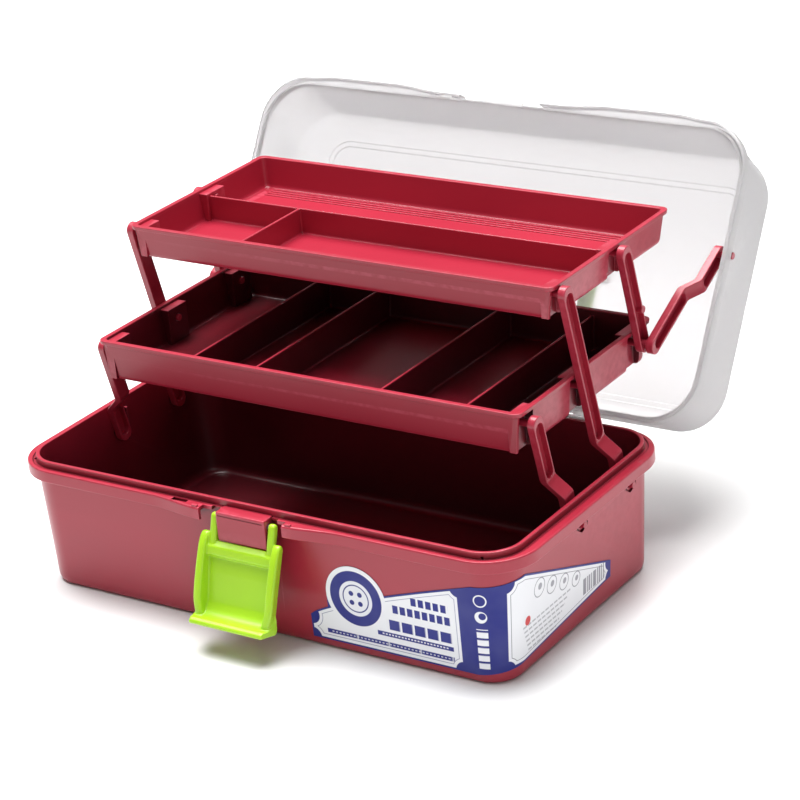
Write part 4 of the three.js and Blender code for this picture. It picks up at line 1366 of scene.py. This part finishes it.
def span(value, low, high, soft=0.25):
    """1 between two edges and 0 outside them."""
    return value.above(low, soft) * value.below(high, soft)


def disc(along, up, centre, radius, soft=0.3):
    """1 inside a round spot."""
    reach = ((along - centre[0]) ** 2.0 + (up - centre[1]) ** 2.0).maths("SQRT")
    return reach.below(radius, soft)


def dashes(along, up, box, pitch, fill):
    """A row of upright blocks that fills a box, in place of printed words."""
    low, high, foot, top = box
    inside = span(along, low, high) * span(up, foot, top)
    return inside * (along - low).phase(pitch).below(fill, 0.12)


def panel_depth(along, up, ends, low, high):
    """How far a point lies inside a panel with scooped corners; edges are (value, slope)."""
    left, right = ends
    depth = (up - low).least(high - up).least(along - left).least(right - along)
    for x, (foot, top) in ((left, label_ends(left)), (right, label_ends(right))):
        for y in (foot, top):
            reach = ((along - x) ** 2.0 + (up - y) ** 2.0).maths("SQRT")
            depth = depth.least(reach - 4.6)
    return depth


def label_ends(along):
    """The label's lower and upper edge at a place along the print."""
    front_end = BROW[0] - BROW[2]
    if along <= front_end:
        return label_edges("front", (along - LABEL_FRONT_X) / (front_end - LABEL_FRONT_X))
    if along <= front_end + LABEL_CORNER:
        return label_edges("corner", (along - front_end) / LABEL_CORNER)
    reach = LABEL_SIDE_Y + BROW[1] - BROW[2]
    return label_edges("side", (along - front_end - LABEL_CORNER) / reach)


def front_print(shade, along, up):
    """Paper and ink masks of the label's front panel."""
    front_end = BROW[0] - BROW[2]
    share = ((along - LABEL_FRONT_X) / (front_end - LABEL_FRONT_X)).most(0.0)
    depth = panel_depth(along, up, FRONT_PANEL, 5.5, share ** 0.8 * 38.0 + 19.0)
    paper = depth.above(1.1, 0.2)
    ink = span(depth, 2.9, 3.25, 0.15) * 0.7
    rows = (
        ((99.0, 122.0, 38.0, 42.6), 4.6, 0.72), ((87.0, 123.5, 31.0, 35.8), 4.6, 0.74),
        ((84.0, 123.5, 20.5, 26.6), 8.0, 0.82), ((76.0, 123.5, 16.0, 18.6), 60.0, 1.1),
        ((43.0, 123.5, 10.0, 12.6), 20.0, 0.97))
    for row in rows:
        ink = ink.most(dashes(along, up, *row))
    ink = ink * (1 - dashes(along, up, (79.0, 121.0, 16.9, 17.7), 2.0, 0.6) * 0.9)
    ink = ink * (1 - dashes(along, up, (46.0, 121.0, 10.9, 11.6), 2.3, 0.55) * 0.7)
    return paper, ink


def side_print(shade, along, up):
    """Paper, ink and grey masks of the label's end panel."""
    start = BROW[0] - BROW[2] + LABEL_CORNER
    reach = LABEL_SIDE_Y + BROW[1] - BROW[2]
    share = ((along - start) / reach).most(0.0)
    depth = panel_depth(along, up, SIDE_PANEL, share * 6.5 + 8.5, 59.0 - share * 34.0)
    paper = depth.above(1.1, 0.2)
    grey = span(depth, 2.9, 3.25, 0.15)
    for i, x in enumerate((182.0, 194.5, 207.0, 219.5)):
        y = 44.5 - 4.4 * i
        outer = disc(along, up, (x, y), 5.4 - 0.35 * i)
        inner = disc(along, up, (x, y), 4.9 - 0.35 * i)
        mark = disc(along, up, (x + 0.6, y + 0.4), 1.9 - 0.1 * i)
        grey = grey.most(outer * (1 - inner)).most(mark * 0.8)
    thin_bars = (along - 227.0).phase(2.1).below(0.5, 0.1)
    thick_bars = (along - 227.6).phase(5.3).below(0.3, 0.1)
    bars = thin_bars.most(thick_bars)
    grey = grey.most(bars * span(along, 227.0, 249.0) * span(up, 17.5, 27.0) * 0.85)
    for i in range(6):
        y = 27.5 - 2.9 * i
        box = (166.0 + i, 214.0 - 3.0 * i, y, y + 1.1)
        grey = grey.most(dashes(along, up, box, 4.4, 0.8) * 0.6)
    return paper, grey


def label_film(f):
    """The label's glossy film, its two panels, blue band, emblem and rows of marks."""
    shade = Shade("label_film")
    where = shade.node("ShaderNodeAttribute", {"attribute_name": "print_place"}, out=1)
    parts = shade.node("ShaderNodeSeparateXYZ", None, {0: where})
    along = parts
    up = Wire(shade, parts.socket.node.outputs[1])
    front, ink = front_print(shade, along, up)
    side, grey = side_print(shade, along, up)
    on_front = along.below(141.0, 1.0)
    paper = front * on_front + side * (1 - on_front)
    base = shade.blend(paper, f.ink, f.paper)
    base = shade.blend(ink * on_front, base, scaled(f.ink, 1.1))
    base = shade.blend(grey * (1 - on_front), base, (0.2, 0.2, 0.24))
    ticks = dashes(up, along, (9.5, 33.0, 138.6, 145.0), 4.6, 0.72)
    crescent = disc(along, up, (141.6, 40.0), 3.4) * (1 - disc(along, up, (142.4, 40.6), 2.0))
    ticks = ticks.most(crescent)
    ring_mark = disc(along, up, (141.6, 49.5), 3.6) * (1 - disc(along, up, (141.6, 49.5), 2.9))
    base = shade.blend(ticks.most(ring_mark), base, f.paper)
    base = shade.blend(disc(along, up, (170.5, 30.8), 2.6), base, (0.6, 0.03, 0.03))
    centre = EMBLEM[:2]
    base = shade.blend(disc(along, up, centre, EMBLEM[2]), base, f.paper)
    base = shade.blend(disc(along, up, centre, 16.3), base, f.ink)
    button = disc(along, up, centre, 10.4) * (1 - span_ring(along, up, centre, 7.6, 8.3))
    for x in (-2.7, 2.7):
        for y in (-2.7, 2.7):
            button = button * (1 - disc(along, up, (centre[0] + x, centre[1] + y), 1.5))
    base = shade.blend(button, base, (0.78, 0.79, 0.84))
    haze = shade.noise(60.0, 2.0)
    base = shade.blend(haze.above(0.6, 0.5) * 0.06, base, (0.5, 0.5, 0.55))
    rough = haze * 0.12 + paper * 0.05 + 0.34
    film = shade.noise(240.0, 2.0)
    return shade.finish(
        Base_Color=base, Roughness=rough, IOR=1.45, Specular_IOR_Level=0.3, Coat_Weight=0.05,
        Normal=shade.bump(film, 0.08, 0.0003))


def span_ring(along, up, centre, inner, outer):
    """1 on a ring between two radii."""
    return disc(along, up, centre, outer) * (1 - disc(along, up, centre, inner))


def floor_paper(studio):
    """The floor's matt paper with a faint tooth."""
    shade = Shade("floor_paper")
    cloud = shade.noise(3.0, 2.0)
    tooth = shade.noise(700.0, 2.0)
    base = shade.blend(cloud, scaled(studio.floor, 0.995), scaled(studio.floor, 1.005))
    return shade.finish(
        Base_Color=base, Roughness=tooth * 0.1 + 0.55, Normal=shade.bump(tooth, 0.05, 0.0002))


def material(context, name):
    """A finish by its name, made once."""
    makers = {
        "burgundy_plastic": burgundy_plastic, "burgundy_painted_shade_bin": burgundy_painted_shade_bin,
        "burgundy_painted_shade_tray": burgundy_painted_shade_tray, "milky_plastic": milky_plastic,
        "lime_plastic": lime_plastic, "label_film": label_film, "pin_steel": pin_steel}
    if name + FINISH not in bpy.data.materials:
        makers[name](context.scene.sewing_box_finishes)
    return bpy.data.materials[name + FINISH]


def dress(context, made, name, body, slot, nodes, crease=34.0, finish=None):
    """Finishes a piece in a slot's material and hands it to its body."""
    finished(made, name, body, nodes, material(context, finish or slot), crease)


# ------------------------------------------------------------ operators
class SEWINGBOX_OT_base(bpy.types.Operator):
    """Builds the base with its flange, keeper and hinge ears"""

    bl_idname = "sewing_box.base"
    bl_label = "Base"

    def execute(self, context):
        # The base wears the burgundy with painted shade inside it.
        dress(context, make_base(context), "base", "root", "burgundy_plastic", ["base_shell"],
              finish="burgundy_painted_shade_bin")
        return {"FINISHED"}


class SEWINGBOX_OT_lid(bpy.types.Operator):
    """Builds the milky lid, open"""

    bl_idname = "sewing_box.lid"
    bl_label = "Lid"

    def execute(self, context):
        dress(context, make_lid(context), "lid", "lid", "milky_plastic", ["lid_shell"])
        return {"FINISHED"}


class SEWINGBOX_OT_trays(bpy.types.Operator):
    """Builds the two divided trays"""

    bl_idname = "sewing_box.trays"
    bl_label = "Trays"

    def execute(self, context):
        # The lower tray wears the burgundy with painted shade in its bays.
        dress(context, make_lower_tray(context), "lower_tray_shell", "lower_tray",
              "burgundy_plastic", ["lower_tray"], finish="burgundy_painted_shade_tray")
        dress(context, make_upper_tray(context), "upper_tray_shell", "upper_tray",
              "burgundy_plastic", ["upper_tray"])
        return {"FINISHED"}


class SEWINGBOX_OT_arms(bpy.types.Operator):
    """Builds the arms and the lid links on both sides"""

    bl_idname = "sewing_box.arms"
    bl_label = "Arms and links"

    def execute(self, context):
        s = context.scene.sewing_box_sizes
        full = LOWER_LENGTH + UPPER_LENGTH
        for name, side in SIDES.items():
            short = cranked_arm(s, LOWER_LENGTH, [LOWER_LENGTH], side)
            arms = {
                "front_arm": (short, LEAN, FRONT_FOOT),
                "long_arm": (cranked_arm(s, full, [LOWER_LENGTH, full], side), LEAN, REAR_FOOT),
                "upper_arm": (upper_arm(s, side), LEAN, TRAY_REAR),
                "lid_link": (lid_link(s, side), LINK_TURN, LID_PIN),
            }
            for kind, (made, turn, place) in arms.items():
                placed(made, turn, *place)
                body = f"{kind}_{name}"
                dress(context, made, f"{kind}_bar_{name}", body, "burgundy_plastic", [body], 40.0)
        return {"FINISHED"}


class SEWINGBOX_OT_latch(bpy.types.Operator):
    """Builds the lime latch and its pin"""

    bl_idname = "sewing_box.latch"
    bl_label = "Latch"

    def execute(self, context):
        dress(context, make_latch(context), "latch_flap", "latch", "lime_plastic", ["latch"], 60.0)
        reach = LATCH_PIN_REACH - 0.2
        pin = rod(-reach, reach, LATCH_Y, LATCH_Z, LATCH_PIN, 0.4)
        dress(context, pin, "latch_wire", "root", "pin_steel", ["latch_pin"])
        return {"FINISHED"}


class SEWINGBOX_OT_handle(bpy.types.Operator):
    """Builds the carry handle, folded on the lid"""

    bl_idname = "sewing_box.handle"
    bl_label = "Carry handle"

    def execute(self, context):
        made = make_handle(context)
        dress(context, made, "handle_bow", "carry_handle", "lime_plastic", ["carry_handle"], 60.0)
        return {"FINISHED"}


class SEWINGBOX_OT_hinge_pins(bpy.types.Operator):
    """Builds the two hinge pins"""

    bl_idname = "sewing_box.hinge_pins"
    bl_label = "Hinge pins"

    def execute(self, context):
        reach = KNUCKLE_HALF + CLEARANCE + EAR_WIDTH + 1
        for name, side in SIDES.items():
            x = side * HINGE_X
            pin = rod(x - reach, x + reach, HINGE_Y, HINGE_Z, HINGE_PIN, 0.5)
            dress(context, pin, f"hinge_wire_{name}", "root", "pin_steel", [f"hinge_pin_{name}"])
        return {"FINISHED"}


class SEWINGBOX_OT_label(bpy.types.Operator):
    """Builds the printed label round the front corner"""

    bl_idname = "sewing_box.label"
    bl_label = "Label"

    def execute(self, context):
        dress(context, make_label(context), "label", "root", "label_film", ["corner_label"])
        return {"FINISHED"}


class SEWINGBOX_OT_stage(bpy.types.Operator):
    """Lays the floor, hangs the lamps and sets the camera"""

    bl_idname = "sewing_box.stage"
    bl_label = "Stage"

    def execute(self, context):
        studio = context.scene.sewing_box_studio
        make_floor(studio)
        make_lamps(context, studio)
        make_camera(context, studio)
        return {"FINISHED"}


# ------------------------------------------------------------ stage
CAMERA_ANGLES = (35.36, 23.32, -5.44)
CAMERA_SHIFT = (0.0021, 0.00065)
CAMERA_TARGET = (-35.71, 114.94, 51.16)


def make_floor(studio):
    """A wide pale floor under the box."""
    half = studio.floor_size / 2 / MM
    corners = [(-half, -half, 0), (half, -half, 0), (half, half, 0), (-half, half, 0)]
    floor = piece("floor", corners, [(0, 1, 2, 3)])
    floor.data.materials.append(floor_paper(studio))


def make_lamp(context, name, power, size, place, aim=(0.0, 0.05, 0.08)):
    """A square soft lamp that faces the box."""
    data = bpy.data.lights.new(name, "AREA")
    data.energy = power
    data.shape = "SQUARE"
    data.size = size
    lamp = bpy.data.objects.new(name, data)
    lamp.location = place
    lamp.rotation_mode = "QUATERNION"
    lamp.rotation_quaternion = (Vector(aim) - Vector(place)).to_track_quat("-Z", "Y")
    context.scene.collection.objects.link(lamp)


def make_lamps(context, studio):
    """Soft light from all round, a large lamp overhead and one at the right."""
    world = bpy.data.worlds.new("studio_sky")
    world.use_nodes = True
    sky = world.node_tree.nodes["Background"]
    sky.inputs["Color"].default_value = (1.0, 1.0, 1.0, 1.0)
    sky.inputs["Strength"].default_value = studio.sky
    context.scene.world = world
    make_lamp(context, "key_lamp", studio.key, 2.6, (-0.5, 0.5, 3.2))
    make_lamp(context, "side_lamp", studio.side, 1.2, (1.9, -0.9, 1.0))


def make_camera(context, studio):
    """A long lens a little above the box, from its front right."""
    turn, lift, roll = (math.radians(angle) for angle in CAMERA_ANGLES)
    back = Vector((math.sin(turn) * math.cos(lift), -math.cos(turn) * math.cos(lift),
                   math.sin(lift)))
    right = Vector((math.cos(turn), math.sin(turn), 0))
    over = back.cross(right)
    across = right * math.cos(roll) + over * math.sin(roll)
    upward = over * math.cos(roll) - right * math.sin(roll)
    data = bpy.data.cameras.new("camera")
    data.sensor_width = 36.0
    data.lens = studio.lens
    data.shift_x, data.shift_y = CAMERA_SHIFT
    data.clip_end = 100.0
    camera = bpy.data.objects.new("camera", data)
    target = Vector(CAMERA_TARGET) * MM
    turned = Matrix((across, upward, back)).transposed().to_4x4()
    camera.matrix_world = Matrix.Translation(target + back * studio.distance) @ turned
    context.scene.collection.objects.link(camera)
    context.scene.camera = camera
    context.scene.view_settings.view_transform = "Standard"


# ------------------------------------------------------------ panel and registration
OPERATORS = (
    SEWINGBOX_OT_base, SEWINGBOX_OT_lid, SEWINGBOX_OT_trays, SEWINGBOX_OT_arms,
    SEWINGBOX_OT_latch, SEWINGBOX_OT_handle, SEWINGBOX_OT_hinge_pins, SEWINGBOX_OT_label,
    SEWINGBOX_OT_stage)
GROUPS = {
    "sewing_box_sizes": SewingBoxSizes,
    "sewing_box_finishes": SewingBoxFinishes,
    "sewing_box_studio": SewingBoxStudio,
}


class SEWINGBOX_PT_panel(bpy.types.Panel):
    """Lists the sewing box's settings and pieces"""

    bl_idname = "SEWINGBOX_PT_panel"
    bl_label = "Sewing Box"
    bl_space_type = "VIEW_3D"
    bl_region_type = "UI"
    bl_category = "Sewing Box"

    def draw(self, context):
        layout = self.layout
        for attribute, group in GROUPS.items():
            column = layout.column()
            for name in group.__annotations__:
                column.prop(getattr(context.scene, attribute), name)
        for operator in OPERATORS:
            layout.operator(operator.bl_idname)


def register():
    """Makes the settings, operators and panel known to Blender."""
    for kind in (*GROUPS.values(), *OPERATORS, SEWINGBOX_PT_panel):
        bpy.utils.register_class(kind)
    for attribute, group in GROUPS.items():
        setattr(bpy.types.Scene, attribute, PointerProperty(type=group))


def unregister():
    """Takes them away again."""
    for attribute in GROUPS:
        delattr(bpy.types.Scene, attribute)
    for kind in (SEWINGBOX_PT_panel, *reversed(OPERATORS), *GROUPS.values()):
        bpy.utils.unregister_class(kind)


def main():
    """Builds the whole box and its stage."""
    register()
    steps = bpy.ops.sewing_box
    for step in (steps.stage, steps.base, steps.lid, steps.trays, steps.arms, steps.latch,
                 steps.handle, steps.hinge_pins, steps.label):
        step()


if __name__ == "__main__":
    main()
